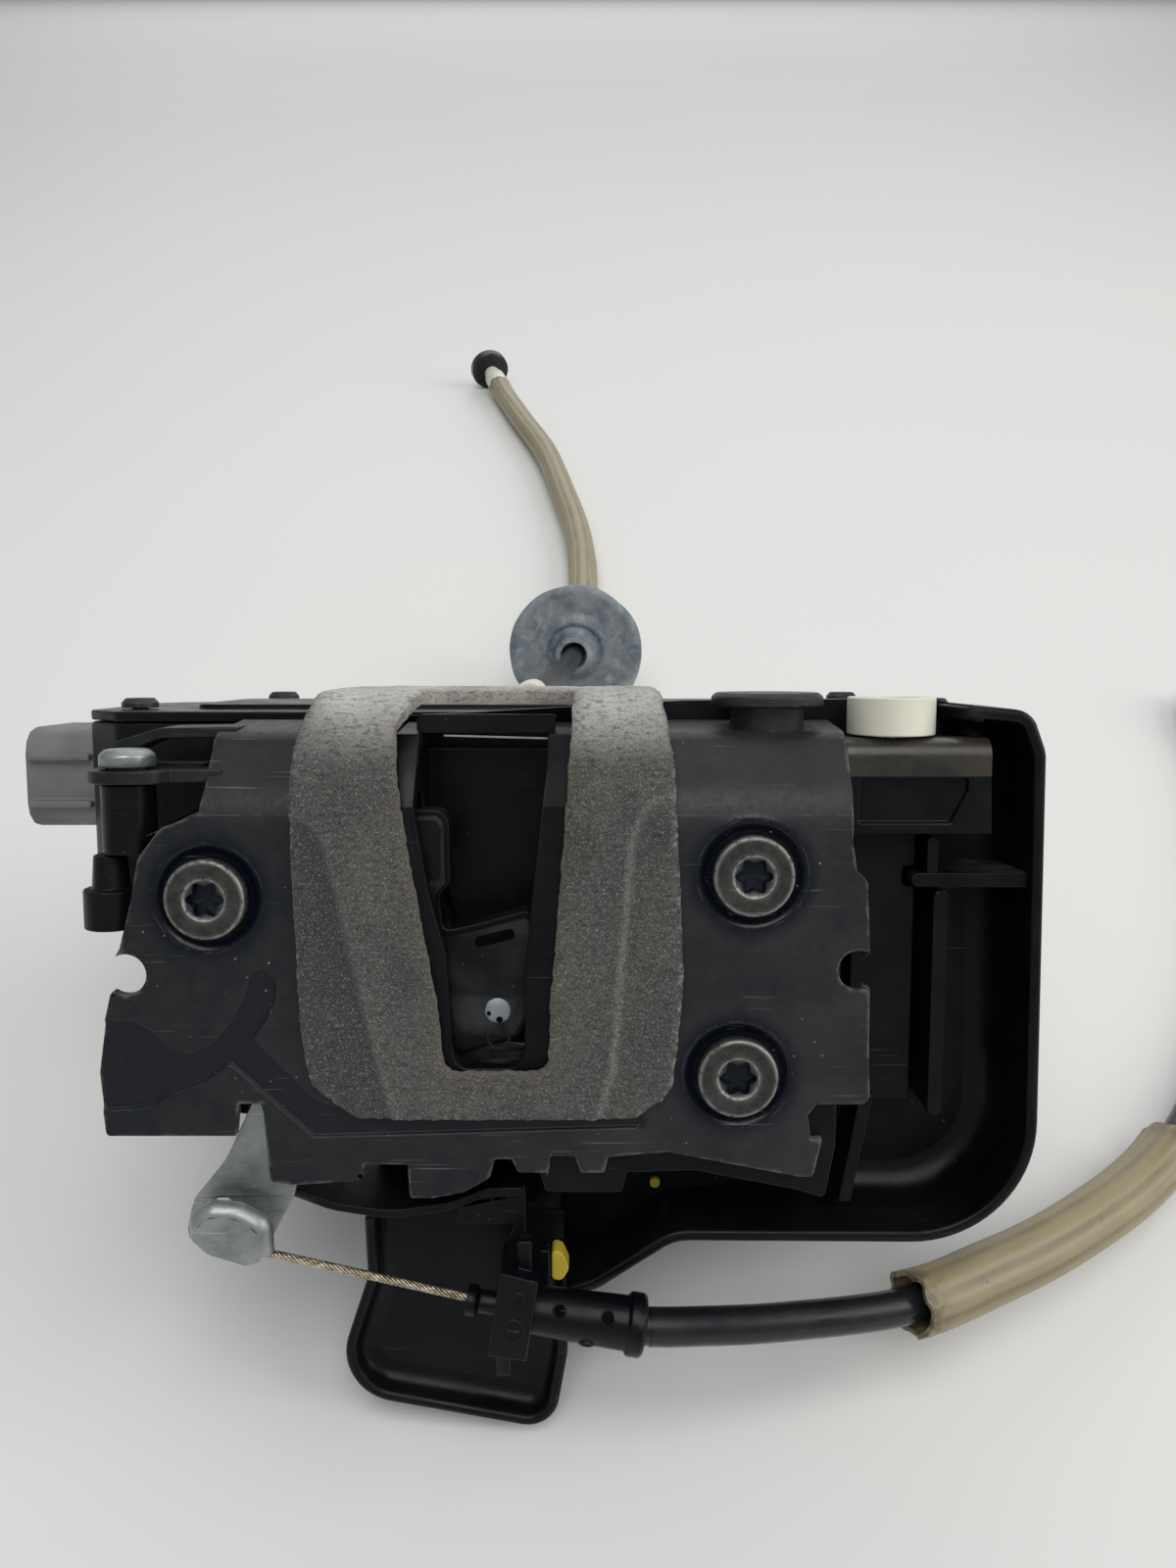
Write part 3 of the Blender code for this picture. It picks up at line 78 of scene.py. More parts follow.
WIRE_SLOPE = 13.3                # the same, for the wire
WIRE_RADIUS = 0.75

# The cables, in the model's frame, in millimetres.
CONDUIT_RADIUS = 3.1
SLEEVE_RADIUS = 6.0
OUTER_ROUTE = [(25.3, -61.85, 29.6), (31.5, -61.3, 28.7), (48.3, -58.9, 25.9), (71.4, -53.5, 21.7),
               (89.5, -44.7, 17.9), (101.2, -38.3, 15.4), (114.2, -29.9, 12.7), (125.5, -21.7, 10.5),
               (135.3, -13.1, 8.9), (144.0, -3.5, 7.6), (154.0, 9.0, 5.8), (164.5, 24.5, 4.4),
               (175.0, 43.0, 3.5), (185.0, 64.0, 3.3), (194.0, 86.0, 3.3), (202.0, 109.0, 3.3),
               (209.0, 132.0, 3.4), (215.0, 155.0, 4.6)]
OUTER_SLEEVE = (48.0, 128.0)     # where it starts and ends along the cable
INNER_ROUTE = [(2.3, 75.0, 68.0), (2.8, 88.0, 60.8), (4.4, 108.0, 50.6), (6.6, 130.0, 40.0),
               (9.0, 154.0, 29.8), (10.9, 174.6, 22.2), (12.0, 192.0, 16.4), (12.8, 210.0, 11.6),
               (13.3, 232.0, 8.0), (13.3, 256.0, 6.5), (12.7, 280.0, 6.2), (10.9, 304.0, 6.2),
               (8.0, 326.0, 6.2), (4.5, 347.0, 6.2), (0.6, 370.0, 6.2), (-3.9, 394.0, 6.2),
               (-9.4, 415.5, 6.2), (-15.8, 437.0, 6.2), (-22.2, 459.0, 6.2), (-28.4, 481.0, 6.2),
               (-34.5, 503.0, 7.2), (-40.6, 521.0, 10.2), (-43.6, 530.0, 11.7)]
GROMMET_AT = 112.0               # how far along the inner cable
GROMMET_RADIUS = 22.4
INNER_SLEEVE_FROM = 119.0
INNER_TIP = 29.0                 # how much of the inner cable's line its end pieces take


# ---- camera, floor and light

def linked(name, data):
    """A new object in the scene."""
    piece = bpy.data.objects.new(name, data)
    bpy.context.scene.collection.objects.link(piece)
    return piece


def mesh_of(name, shape):
    """A mesh of a bmesh, which is then freed."""
    mesh = bpy.data.meshes.new(name)
    shape.to_mesh(mesh)
    shape.free()
    return mesh


def make_stage():
    camera = bpy.data.cameras.new("camera")
    camera.lens = 27.045
    camera.sensor_width = 36.0
    camera.clip_end = 100.0
    eye = linked("camera", camera)
    eye.location = (0.01527, -0.16648, 0.21632)
    eye.rotation_euler = (radians(54.0), 0.0, 0.0)
    bpy.context.scene.camera = eye

    shape = bmesh.new()
    bmesh.ops.create_grid(shape, x_segments=1, y_segments=1, size=14.0)
    floor = linked("floor", mesh_of("floor", shape))
    floor.data.materials.append(floor_finish())

    world = bpy.data.worlds.new("studio")
    world.use_nodes = True
    sky = world.node_tree.nodes["Background"]
    sky.inputs["Color"].default_value = (0.93, 0.965, 1.0, 1.0)
    sky.inputs["Strength"].default_value = 0.32
    bpy.context.scene.world = world
    area_light("right_window", (1.9, -0.2, 1.2), 1.5, 21.0, (1.0, 0.98, 0.95))
    area_light("back_wall", (0.0, 4.0, 2.4), 4.0, 60.0, (0.98, 0.985, 1.0))
    area_light("overhead", (0.0, -0.7, 2.1), 1.6, 25.0, (1.0, 0.985, 0.96))
    bpy.context.scene.view_settings.view_transform = "Standard"


def area_light(name, place, size, power, colour):
    lamp = bpy.data.lights.new(name, "AREA")
    lamp.size = size
    lamp.energy = power
    lamp.color = colour
    light = linked(name, lamp)
    light.location = place
    light.rotation_euler = (Vector((0.0, 0.05, 0.04)) - Vector(place)).to_track_quat("-Z", "Y").to_euler()


# ---- materials

class Paint:
    """A Principled material and short ways to add nodes to it."""

    def __init__(self, name, colour, roughness, metallic=0.0, more=None):
        self.material = bpy.data.materials.new(name)
        self.material.use_nodes = True
        self.tree = self.material.node_tree
        self.shader = self.tree.nodes["Principled BSDF"]
        values = {"Base Color": (*colour, 1.0), "Roughness": roughness, "Metallic": metallic}
        for key, value in {**values, **(more or {})}.items():
            self.shader.inputs[key].default_value = value
        self.place = self.node("ShaderNodeTexCoord", "Object")

    def node(self, kind, output, inputs=None, **settings):
        """An output of a new node, whose inputs are linked or set."""
        made = self.tree.nodes.new(kind)
        for key, value in settings.items():
            setattr(made, key, value)
        for key, value in (inputs or {}).items():
            if isinstance(value, bpy.types.NodeSocket):
                self.tree.links.new(value, made.inputs[key])
            else:
                made.inputs[key].default_value = value
        return made.outputs[output]

    def stretched(self, scale, turn=(0.0, 0.0, 0.0)):
        """The object's coordinates, turned by so many degrees and scaled."""
        return self.node("ShaderNodeMapping", "Vector", {"Vector": self.place, "Scale": scale,
                                                         "Rotation": [radians(angle) for angle in turn]})

    def noise(self, scale, detail=4.0, rough=0.55, where=None):
        return self.node("ShaderNodeTexNoise", "Fac", {"Vector": where or self.place, "Scale": scale,
                                                       "Detail": detail, "Roughness": rough})

    def cells(self, scale):
        return self.node("ShaderNodeTexVoronoi", "Distance", {"Vector": self.place, "Scale": scale})

    def ramp(self, value, low, high, out_low=0.0, out_high=1.0):
        return self.node("ShaderNodeMapRange", "Result", {"Value": value, "From Min": low, "From Max": high,
                                                          "To Min": out_low, "To Max": out_high}, clamp=True)

    def math(self, operation, a, b):
        return self.node("ShaderNodeMath", "Value", {0: a, 1: b}, operation=operation)

    def times(self, a, b):
        return self.math("MULTIPLY", a, b)

    def mix(self, factor, a, b):
        a, b = ((*value, 1.0) if isinstance(value, tuple) else value for value in (a, b))
        return self.node("ShaderNodeMix", 2, {"Factor": factor, 6: a, 7: b}, data_type="RGBA")

    def over(self, tone, mask, amount, coat):
        """A coat laid over a tone where a mask says."""
        return self.mix(self.times(mask, amount), tone, coat)

    def marks(self):
        """The three masks that paint_marks stored on the piece."""
        stored = self.node("ShaderNodeAttribute", "Color", attribute_name="marks")
        split = self.node("ShaderNodeSeparateColor", "Red", {"Color": stored}).node
        return [split.outputs[part] for part in ("Red", "Green", "Blue")]

    def feed(self, key, value):
        self.tree.links.new(value, self.shader.inputs[key])

    def colour(self, value):
        self.feed("Base Color", value)

    def roughness(self, value):
        self.feed("Roughness", value)

    def bump(self, height, strength, distance):
        inputs = {"Strength": strength, "Distance": distance, "Height": height}
        normal = self.shader.inputs["Normal"]
        if normal.is_linked:
            inputs["Normal"] = normal.links[0].from_socket
        self.feed("Normal", self.node("ShaderNodeBump", "Normal", inputs))

    def scratches(self, density=0.62):
        """Fine straight scratches in three directions, as a mask."""
        found = None
        for turn, long, fine in (((10, 20, 35), 55.0, 3100.0), ((25, -10, 120), 80.0, 3900.0),
                                 ((-15, 35, 75), 45.0, 2700.0)):
            streaks = self.noise(1.0, 2.0, 0.4, self.stretched((long, fine, fine), turn))
            patches = self.noise(60.0, 2.0, 0.5, self.stretched((1.0, 1.0, 1.0), turn))
            thin = self.ramp(streaks, density + 0.08, density + 0.14)
            here = self.times(thin, self.ramp(patches, 0.5, 0.62))
            found = here if found is None else self.math("MAXIMUM", found, here)
        return found

    def across(self, low, high):
        """A ramp from the latch's left to its right, between two places in metres."""
        return self.ramp(self.node("ShaderNodeSeparateXYZ", "X", {"Vector": self.place}), low, high)

    def edges(self, low, high):
        """The mesh's convex edges, as a mask for a painted highlight."""
        return self.ramp(self.node("ShaderNodeNewGeometry", "Pointiness"), low, high)

    def dust(self, scale=420.0, size=0.09):
        """Small pale specks, in patches."""
        specks = self.ramp(self.cells(scale), size, size * 0.5)
        return self.times(specks, self.ramp(self.noise(45.0, 3.0), 0.5, 0.68))


def floor_finish():
    paint = Paint("floor_paper", (0.76, 0.755, 0.735), 0.62)
    broad = paint.ramp(paint.noise(2.2, 2.0), 0.3, 0.7)
    specks = paint.ramp(paint.cells(26.0), 0.035, 0.015)
    specks = paint.times(specks, paint.ramp(paint.noise(4.0, 2.0), 0.52, 0.66))
    tone = paint.mix(broad, (0.765, 0.757, 0.735), (0.74, 0.742, 0.738))
    paint.colour(paint.over(tone, specks, 0.35, (0.42, 0.40, 0.37)))
    return paint.material


def plate_finish():
    """Blue-black satin paint on steel, oily round the screws, with thin pale edges that are partly scuffed
    paint and partly painted highlight, and painted shade on its left side.
    """
    paint = Paint("plate_steel", (0.012, 0.014, 0.017), 0.42, more={"Specular IOR Level": 0.3})
    red_mask, oil, groove = paint.marks()
    cloud = paint.ramp(paint.noise(48.0, 7.0, 0.64), 0.36, 0.66)
    blotch = paint.ramp(paint.noise(210.0, 5.0, 0.65), 0.42, 0.66)
    # Painted shade: the plate's tone runs darker on its left and lighter on its right, as the light falls
    # from the right.
    dark = paint.mix(paint.across(-0.06, 0.05), (0.0035, 0.0058, 0.0090), (0.0095, 0.0118, 0.0150))
    light = paint.mix(paint.across(-0.06, 0.05), (0.0105, 0.0125, 0.0150), (0.027, 0.0285, 0.0300))
    tone = paint.mix(cloud, dark, light)
    tone = paint.over(tone, blotch, 0.22, (0.040, 0.038, 0.034))
    tone = paint.over(tone, groove, 0.8, (0.0050, 0.0068, 0.0105))
    tone = paint.over(tone, oil, 0.9, (0.0018, 0.0034, 0.0085))
    # Thin pale lines where the red mask says: partly scuffed paint at the plate's border, partly painted
    # highlight there and along the bends, the dish rims and the channel's edge.
    scuff_and_highlight = paint.ramp(red_mask, 0.5, 0.95)
    edge = paint.times(scuff_and_highlight, paint.ramp(paint.noise(330.0, 4.0, 0.65), 0.45, 0.58))
    tone = paint.over(tone, edge, 0.55, (0.15, 0.15, 0.145))
    tone = paint.over(tone, paint.scratches(), 0.5, (0.20, 0.20, 0.195))
    tone = paint.over(tone, paint.dust(), 0.8, (0.42, 0.43, 0.42))
    paint.colour(tone)
    rough = paint.ramp(paint.noise(900.0, 3.0), 0.3, 0.7, 0.36, 0.52)
    paint.roughness(paint.math("SUBTRACT", rough, paint.times(oil, 0.2)))
    paint.bump(paint.noise(1500.0, 3.0), 0.22, 0.0001)
    paint.bump(paint.noise(120.0, 3.0), 0.12, 0.0004)
    return paint.material


def plastic_finish(name, dark, light, roughness, grain=0.18, scratched=0.25, dusty=0.3, gloss=0.5,
                   pale_edges=0.0):
    """Moulded plastic: a fine grain, faint scuffs and dust, and a painted highlight along its convex edges.
    """
    paint = Paint(name, dark, roughness, more={"Specular IOR Level": gloss})
    cloud = paint.ramp(paint.noise(70.0, 5.0, 0.6), 0.35, 0.7)
    tone = paint.mix(cloud, dark, light)
    pale = tuple(0.25 + 0.6 * part for part in light)
    if scratched:
        tone = paint.over(tone, paint.scratches(0.64), scratched, pale)
    if dusty:
        tone = paint.over(tone, paint.dust(330.0, 0.08), dusty, pale)
    # Pale convex edges: a painted highlight.
    if pale_edges:
        patchy = paint.ramp(paint.noise(240.0, 4.0), 0.36, 0.6, 0.25, 1.0)
        thin = paint.times(paint.edges(0.58, 0.65), patchy)
        tone = paint.over(tone, thin, pale_edges, (0.06, 0.062, 0.064))
    paint.colour(tone)
    paint.roughness(paint.ramp(paint.noise(160.0, 4.0, 0.6), 0.35, 0.65, roughness - 0.07, roughness + 0.09))
    paint.bump(paint.noise(2300.0, 2.0), grain, 0.00008)
    return paint.material


def foam_finish():
    """Felted foam: short horizontal fibres, salt-and-pepper specks and brown dirt in patches; a paler top,
    partly scuffs and dust and partly painted light; painted highlights along the creases and painted shade on
    the banded sides.
    """
    paint = Paint("foam", (0.085, 0.083, 0.076), 0.95, more={
        "Sheen Weight": 0.2, "Sheen Roughness": 0.6, "Specular IOR Level": 0.1})
    red_mask, dark, brown = paint.marks()
    fibres = paint.noise(1.0, 5.0, 0.7, paint.stretched((700.0, 1500.0, 1900.0)))
    specks = paint.noise(3200.0, 4.0, 0.8)
    cloud = paint.ramp(paint.noise(75.0, 4.0, 0.6), 0.32, 0.7)
    tone = paint.mix(cloud, (0.056, 0.061, 0.060), (0.096, 0.094, 0.086))
    # The red mask paints pale: crumbs at the outer border, a paler top that is partly scuffs and dust and
    # partly painted light, and painted highlights along the creases.
    tone = paint.mix(red_mask, tone, (0.80, 0.79, 0.74))
    # Darker where the dark mask says: painted shade on the banded sides, with a darker outer border and
    # darker patches.
    tone = paint.over(tone, dark, 0.75, (0.020, 0.021, 0.020))
    tone = paint.over(tone, brown, 0.6, (0.13, 0.10, 0.055))
    pepper = paint.math("MAXIMUM", paint.ramp(fibres, 0.5, 0.36), paint.ramp(specks, 0.47, 0.36))
    tone = paint.over(tone, pepper, 0.72, (0.012, 0.012, 0.011))
    tone = paint.over(tone, paint.ramp(specks, 0.54, 0.66), 0.6, (0.42, 0.41, 0.385))
    paint.colour(tone)
    paint.bump(fibres, 0.8, 0.0003)
    paint.bump(specks, 0.7, 0.00025)
    return paint.material


def metal_finish(name, dark, light, roughness, metallic):
    """Plated or bare steel: blotches, a fine drawn grain and small bright rubs."""
    paint = Paint(name, dark, roughness, metallic)
    cloud = paint.ramp(paint.noise(140.0, 6.0, 0.62), 0.32, 0.7)
    drawn = paint.noise(1.0, 3.0, 0.5, paint.stretched((300.0, 300.0, 2600.0)))
    tone = paint.mix(cloud, dark, light)
    bright = tuple(min(1.0, 1.5 * part + 0.08) for part in light)
    tone = paint.over(tone, paint.scratches(0.6), 0.5, bright)
    paint.colour(tone)
    paint.roughness(paint.ramp(drawn, 0.3, 0.7, roughness - 0.08, roughness + 0.12))
    paint.bump(drawn, 0.12, 0.0001)
    paint.bump(paint.noise(380.0, 4.0), 0.12, 0.0002)
    return paint.material


def screw_finish():
    """Brown-grey phosphated steel, its edges scuffed bright, darker inside its socket."""
    paint = Paint("screw_steel", (0.05, 0.048, 0.045), 0.45, 0.55)
    bright, dark, _ = paint.marks()
    cloud = paint.ramp(paint.noise(420.0, 6.0, 0.7), 0.36, 0.64)
    tone = paint.mix(cloud, (0.025, 0.025, 0.0245), (0.060, 0.058, 0.055))
    tone = paint.over(tone, paint.scratches(0.6), 0.6, (0.30, 0.28, 0.25))
    pale_edges = paint.times(bright, paint.ramp(paint.noise(900.0, 3.0, 0.6), 0.3, 0.5))
    tone = paint.over(tone, pale_edges, 0.8, (0.38, 0.37, 0.34))
    # Darker inside the socket.
    tone = paint.over(tone, dark, 0.93, (0.004, 0.008, 0.018))
    paint.colour(tone)
    paint.roughness(paint.ramp(paint.noise(300.0, 4.0), 0.3, 0.7, 0.34, 0.55))
    paint.bump(paint.noise(1100.0, 4.0), 0.25, 0.0001)
    return paint.material


def sleeve_finish():
    """A milky tan tube, darker brown between its flutes and grimy at its cut ends."""
    paint = Paint("sleeve_tan", (0.33, 0.28, 0.17), 0.42, more={
        "Subsurface Weight": 0.3, "Subsurface Radius": (1.0, 0.75, 0.4), "Subsurface Scale": 0.0015})
    red_mask, dark, _ = paint.marks()
    cloud = paint.ramp(paint.noise(38.0, 3.0, 0.5), 0.3, 0.7)
    tone = paint.mix(cloud, (0.248, 0.206, 0.110), (0.325, 0.280, 0.162))
    # Darker brown between the flutes.
    between_flutes = paint.times(dark, paint.ramp(paint.noise(90.0, 3.0), 0.25, 0.6, 0.45, 1.0))
    tone = paint.over(tone, between_flutes, 0.7, (0.115, 0.085, 0.04))
    torn = paint.times(red_mask, paint.ramp(paint.noise(260.0, 4.0, 0.7), 0.4, 0.56))
    tone = paint.over(tone, torn, 0.75, (0.06, 0.045, 0.025))
    tone = paint.over(tone, paint.dust(380.0, 0.12), 0.7, (0.05, 0.04, 0.022))
    paint.colour(tone)
    paint.roughness(paint.ramp(cloud, 0.0, 1.0, 0.32, 0.46))
    paint.bump(paint.noise(500.0, 4.0), 0.15, 0.0002)
    return paint.material


def rubber_finish():
    """Blue-grey rubber with a pale bloom."""
    paint = Paint("grommet_rubber", (0.13, 0.16, 0.19), 0.6)
    cloud = paint.ramp(paint.noise(95.0, 6.0, 0.65), 0.34, 0.66)
    tone = paint.mix(cloud, (0.085, 0.11, 0.135), (0.25, 0.28, 0.30))
    bloom = paint.times(paint.ramp(paint.noise(260.0, 5.0, 0.7), 0.5, 0.66), 0.6)
    paint.colour(paint.mix(bloom, tone, (0.36, 0.38, 0.39)))
    paint.roughness(paint.ramp(cloud, 0.0, 1.0, 0.5, 0.68))
    paint.bump(paint.noise(600.0, 3.0), 0.25, 0.0002)
    return paint.material


def strand_finish():
    """Drawn steel with a brassy coat, in darker and lighter streaks along its length."""
    paint = Paint("wire_strand", (0.45, 0.38, 0.28), 0.3, 1.0)
    bands = paint.noise(1.0, 2.0, 0.5, paint.stretched((500.0, 2500.0, 2500.0)))
    paint.colour(paint.mix(paint.ramp(bands, 0.38, 0.62), (0.25, 0.20, 0.12), (0.62, 0.56, 0.44)))
    paint.roughness(paint.ramp(bands, 0.3, 0.7, 0.24, 0.4))
    return paint.material


PLASTICS = {    # dark, light, roughness, grain, scratched, dusty, gloss, and the strength of a painted highlight on convex edges
    "black_plastic": ((0.0016, 0.0021, 0.0034), (0.0050, 0.0055, 0.0066), 0.34, 0.14, 0.16, 0.35, 0.2, 0.9),
    "grey_plastic": ((0.11, 0.115, 0.12), (0.20, 0.205, 0.21), 0.5),
    "white_plastic": ((0.66, 0.65, 0.54), (0.76, 0.75, 0.65), 0.42, 0.1, 0.0, 0.0),
    "yellow_plastic": ((0.50, 0.38, 0.03), (0.66, 0.53, 0.09), 0.45, 0.1, 0.0, 0.0),
    "board_green": ((0.015, 0.09, 0.035), (0.03, 0.15, 0.06), 0.35),
    "cable_jacket": ((0.006, 0.007, 0.009), (0.013, 0.014, 0.016), 0.3, 0.06, 0.12, 0.35, 0.4),
    # A brown sheen with dust, painted on the key lock's block edge as a painted reflection.
    "dust_and_sheen_plastic": ((0.016, 0.0145, 0.012), (0.062, 0.053, 0.038), 0.3, 0.14, 0.3, 0.3),
    # Near-black fills: painted shade, put in slots, pits and dimples.
    "painted_shade_black": ((0.0005, 0.0006, 0.0009), (0.0012, 0.0013, 0.0018), 0.7, 0.18, 0.25, 0.3, 0.05),
    "grease": ((0.22, 0.25, 0.28), (0.50, 0.53, 0.56), 0.4, 0.5),
}
METALS = {      # dark, light, roughness, metallic
    "zinc": ((0.20, 0.225, 0.215), (0.42, 0.445, 0.435), 0.4, 0.8),
    "bright_steel": ((0.28, 0.27, 0.25), (0.46, 0.45, 0.43), 0.34, 1.0),
    "brass": ((0.45, 0.31, 0.10), (0.66, 0.50, 0.22), 0.34, 1.0),
}


def make_finishes():
    made = {"plate_steel": plate_finish(), "foam": foam_finish(), "screw_steel": screw_finish(),
            "wire_strand": strand_finish(), "sleeve_tan": sleeve_finish(), "grommet_rubber": rubber_finish()}
    made.update((name, plastic_finish(name, *values)) for name, values in PLASTICS.items())
    made.update((name, metal_finish(name, *values)) for name, values in METALS.items())
    return made


# ---- shapes, in millimetres

def fillet(corners, arc_step=9.0, closed=True):
    """Corners (u, v) or (u, v, radius) to points with round corners."""
    points = []
    count = len(corners)
    for index, corner in enumerate(corners):
        here = Vector(corner[:2])
        radius = corner[2] if len(corner) > 2 else 0.0
        before = Vector(corners[index - 1][:2]) - here
        after = Vector(corners[(index + 1) % count][:2]) - here
        at_end = not closed and index in (0, count - 1)
        turn = pi if at_end else before.angle(after)
        if radius <= 0.0 or turn > radians(176):
            points.append(tuple(here))
            continue
        run = min(radius / tan(turn / 2), 0.48 * before.length, 0.48 * after.length)
        radius = run * tan(turn / 2)
        first = here + before.normalized() * run
        last = here + after.normalized() * run
        centre = here + (before.normalized() + after.normalized()).normalized() * (radius / sin(turn / 2))
        start = atan2(*(first - centre).yx)
        sweep = (atan2(*(last - centre).yx) - start + pi) % (2 * pi) - pi
        steps = max(1, ceil(abs(degrees(sweep)) / arc_step))
        for step in range(steps + 1):
            angle = start + sweep * step / steps
            points.append((centre.x + radius * cos(angle), centre.y + radius * sin(angle)))
    return points


def arc(centre, radius, start, end, step=6.0):
    steps = max(1, ceil(abs(end - start) / step))
    angles = [radians(start + (end - start) * n / steps) for n in range(steps + 1)]
    return [(centre[0] + radius * cos(a), centre[1] + radius * sin(a)) for a in angles]


def solid_from(name, mesh):
    shape = bmesh.new()
    shape.from_mesh(mesh)
    bmesh.ops.remove_doubles(shape, verts=shape.verts, dist=1e-6)
    bmesh.ops.recalc_face_normals(shape, faces=shape.faces)
    shape.to_mesh(mesh)
    shape.free()
    return linked(name, mesh)


def baked(source, name):
    bpy.context.view_layer.update()
    graph = bpy.context.evaluated_depsgraph_get()
    mesh = bpy.data.meshes.new_from_object(source.evaluated_get(graph))
    mesh.transform(source.matrix_world)
    bpy.data.objects.remove(source)
    return solid_from(name, mesh)


PLANES = {"x": Matrix(((0, 0, 1), (1, 0, 0), (0, 1, 0))),
          "y": Matrix(((1, 0, 0), (0, 0, -1), (0, 1, 0))),
          "z": Matrix.Identity(3)}


def prism(name, outline, low, high, axis="y"):
    """A flat outline made thick along an axis: (x, z) along y, (x, y) along z or (y, z) along x."""
    curve = bpy.data.curves.new(name, "CURVE")
    curve.dimensions = "2D"
    curve.fill_mode = "BOTH"
    curve.extrude = (high - low) / 2 * MM
    spline = curve.splines.new("POLY")
    spline.points.add(len(outline) - 1)
    for point, (u, v) in zip(spline.points, outline):
        point.co = (u * MM, v * MM, 0.0, 1.0)
    spline.use_cyclic_u = True
    flat = linked(name, curve)
    middle = Vector([(low + high) / 2 * MM if letter == axis else 0.0 for letter in "xyz"])
    flat.matrix_world = Matrix.Translation(middle) @ PLANES[axis].to_4x4()
    return baked(flat, name)


def sloping(slope):
    """The way along the face, so many degrees down to the right."""
    return Vector((cos(radians(slope)), 0.0, -sin(radians(slope))))


def facing(direction):
    return Vector((0.0, 0.0, 1.0)).rotation_difference(Vector(direction)).to_matrix().to_4x4()


def rod(name, start, direction, radius, length, segments=48):
    shape = bmesh.new()
    bmesh.ops.create_cone(shape, cap_ends=True, segments=segments, radius1=radius * MM, radius2=radius * MM,
                          depth=length * MM)
    mesh = mesh_of(name, shape)
    step = Matrix.Translation((0.0, 0.0, length / 2 * MM))
    mesh.transform(Matrix.Translation(Vector(start) * MM) @ facing(direction) @ step)
    return solid_from(name, mesh)


def join_rings(shape, rings):
    for first, second in zip(rings, rings[1:]):
        for n in range(len(max(first, second, key=len))):
            corners = [first[n % len(first)], first[(n + 1) % len(first)], second[(n + 1) % len(second)],
                       second[n % len(second)]]
            shape.faces.new(list(dict.fromkeys(corners)))


def lathe(name, profile, start, direction, segments=64, wobble=None):
    """Rings of a profile (radius, distance) about a line, joined by faces; wobble moves each point."""
    shape = bmesh.new()
    rings = []
    for radius, distance in profile:
        if radius == 0.0:
            rings.append([shape.verts.new((0.0, 0.0, distance * MM))])
            continue
        ring = []
        for n in range(segments):
            angle = 2 * pi * n / segments
            here = radius if wobble is None else wobble(radius, distance, angle)
            ring.append(shape.verts.new((here * cos(angle) * MM, here * sin(angle) * MM, distance * MM)))
        rings.append(ring)
    join_rings(shape, rings)
    mesh = mesh_of(name, shape)
    mesh.transform(Matrix.Translation(Vector(start) * MM) @ facing(direction))
    return solid_from(name, mesh)


def combine(target, others, operation):
    for other in others:
        change = target.modifiers.new("combine", "BOOLEAN")
        change.operation = operation
        change.solver = "EXACT"
        change.object = other
        bpy.context.view_layer.update()
        graph = bpy.context.evaluated_depsgraph_get()
        result = bpy.data.meshes.new_from_object(target.evaluated_get(graph))
        target.modifiers.clear()
        target.data = result
        bpy.data.objects.remove(other)
    return target


def cut(target, *others):
    return combine(target, others, "DIFFERENCE")


def join(target, *others):
    return combine(target, others, "UNION")


def rounded_path(corners):
    """A bent line with its corners rounded: its points and how far along each lies."""
    points = fillet(corners, 6.0, closed=False)
    run = [corners[0][1]]
    for before, after in zip(points, points[1:]):
        run.append(run[-1] + (Vector(after) - Vector(before)).length)
    return points, run


def on_path(path, s):
    """The place (y, z) at a distance along a rounded path, and the outward normal there."""
    points, run = path
    index = min(max(int(np.searchsorted(run, s)) - 1, 0), len(points) - 2)
    a = Vector(points[index])
    way = (Vector(points[index + 1]) - a).normalized()
    return a + way * (s - run[index]), Vector((-way.y, way.x))


def densified(loop, step):
    points = []
    for a, b in zip(loop, loop[1:] + loop[:1]):
        count = max(1, round((Vector(b) - Vector(a)).length / step))
        points += [tuple(Vector(a).lerp(Vector(b), n / count)) for n in range(count)]
    return points


def beside(loop, offset, step):
    """Points along a closed loop, moved sideways from it."""
    points = densified(loop, step)
    moved = []
    for before, here, after in zip(points[-1:] + points[:-1], points, points[1:] + points[:1]):
        way = (Vector(after) - Vector(before)).normalized()
        moved.append((here[0] + way.y * offset, here[1] - way.x * offset))
    return moved


def inside(points, loop):
    """Which of the points lie inside a closed loop."""
    x, y = np.asarray(points).T
    found = np.zeros(len(x), bool)
    for (ax, ay), (bx, by) in zip(loop, loop[1:] + loop[:1]):
        crossing = (ay > y) != (by > y)
        with np.errstate(divide="ignore", invalid="ignore"):
            found ^= crossing & (x < (bx - ax) * (y - ay) / (by - ay) + ax)
    return found


def distance_to(points, line, closed=True):
    """How far each point is from a line of points."""
    points = np.asarray(points)
    ends = line[1:] + line[:1] if closed else line[1:]
    best = np.full(len(points), 1e9)
    for a, b in zip(np.asarray(line), np.asarray(ends)):
        way = b - a
        t = np.clip(((points - a) @ way) / max(way @ way, 1e-12), 0.0, 1.0)
        best = np.minimum(best, np.hypot(*(points - a - t[:, None] * way).T))
    return best


def smooth(value, low, high):
    t = np.clip((np.asarray(value) - low) / (high - low), 0.0, 1.0)
    return t * t * (3 - 2 * t)


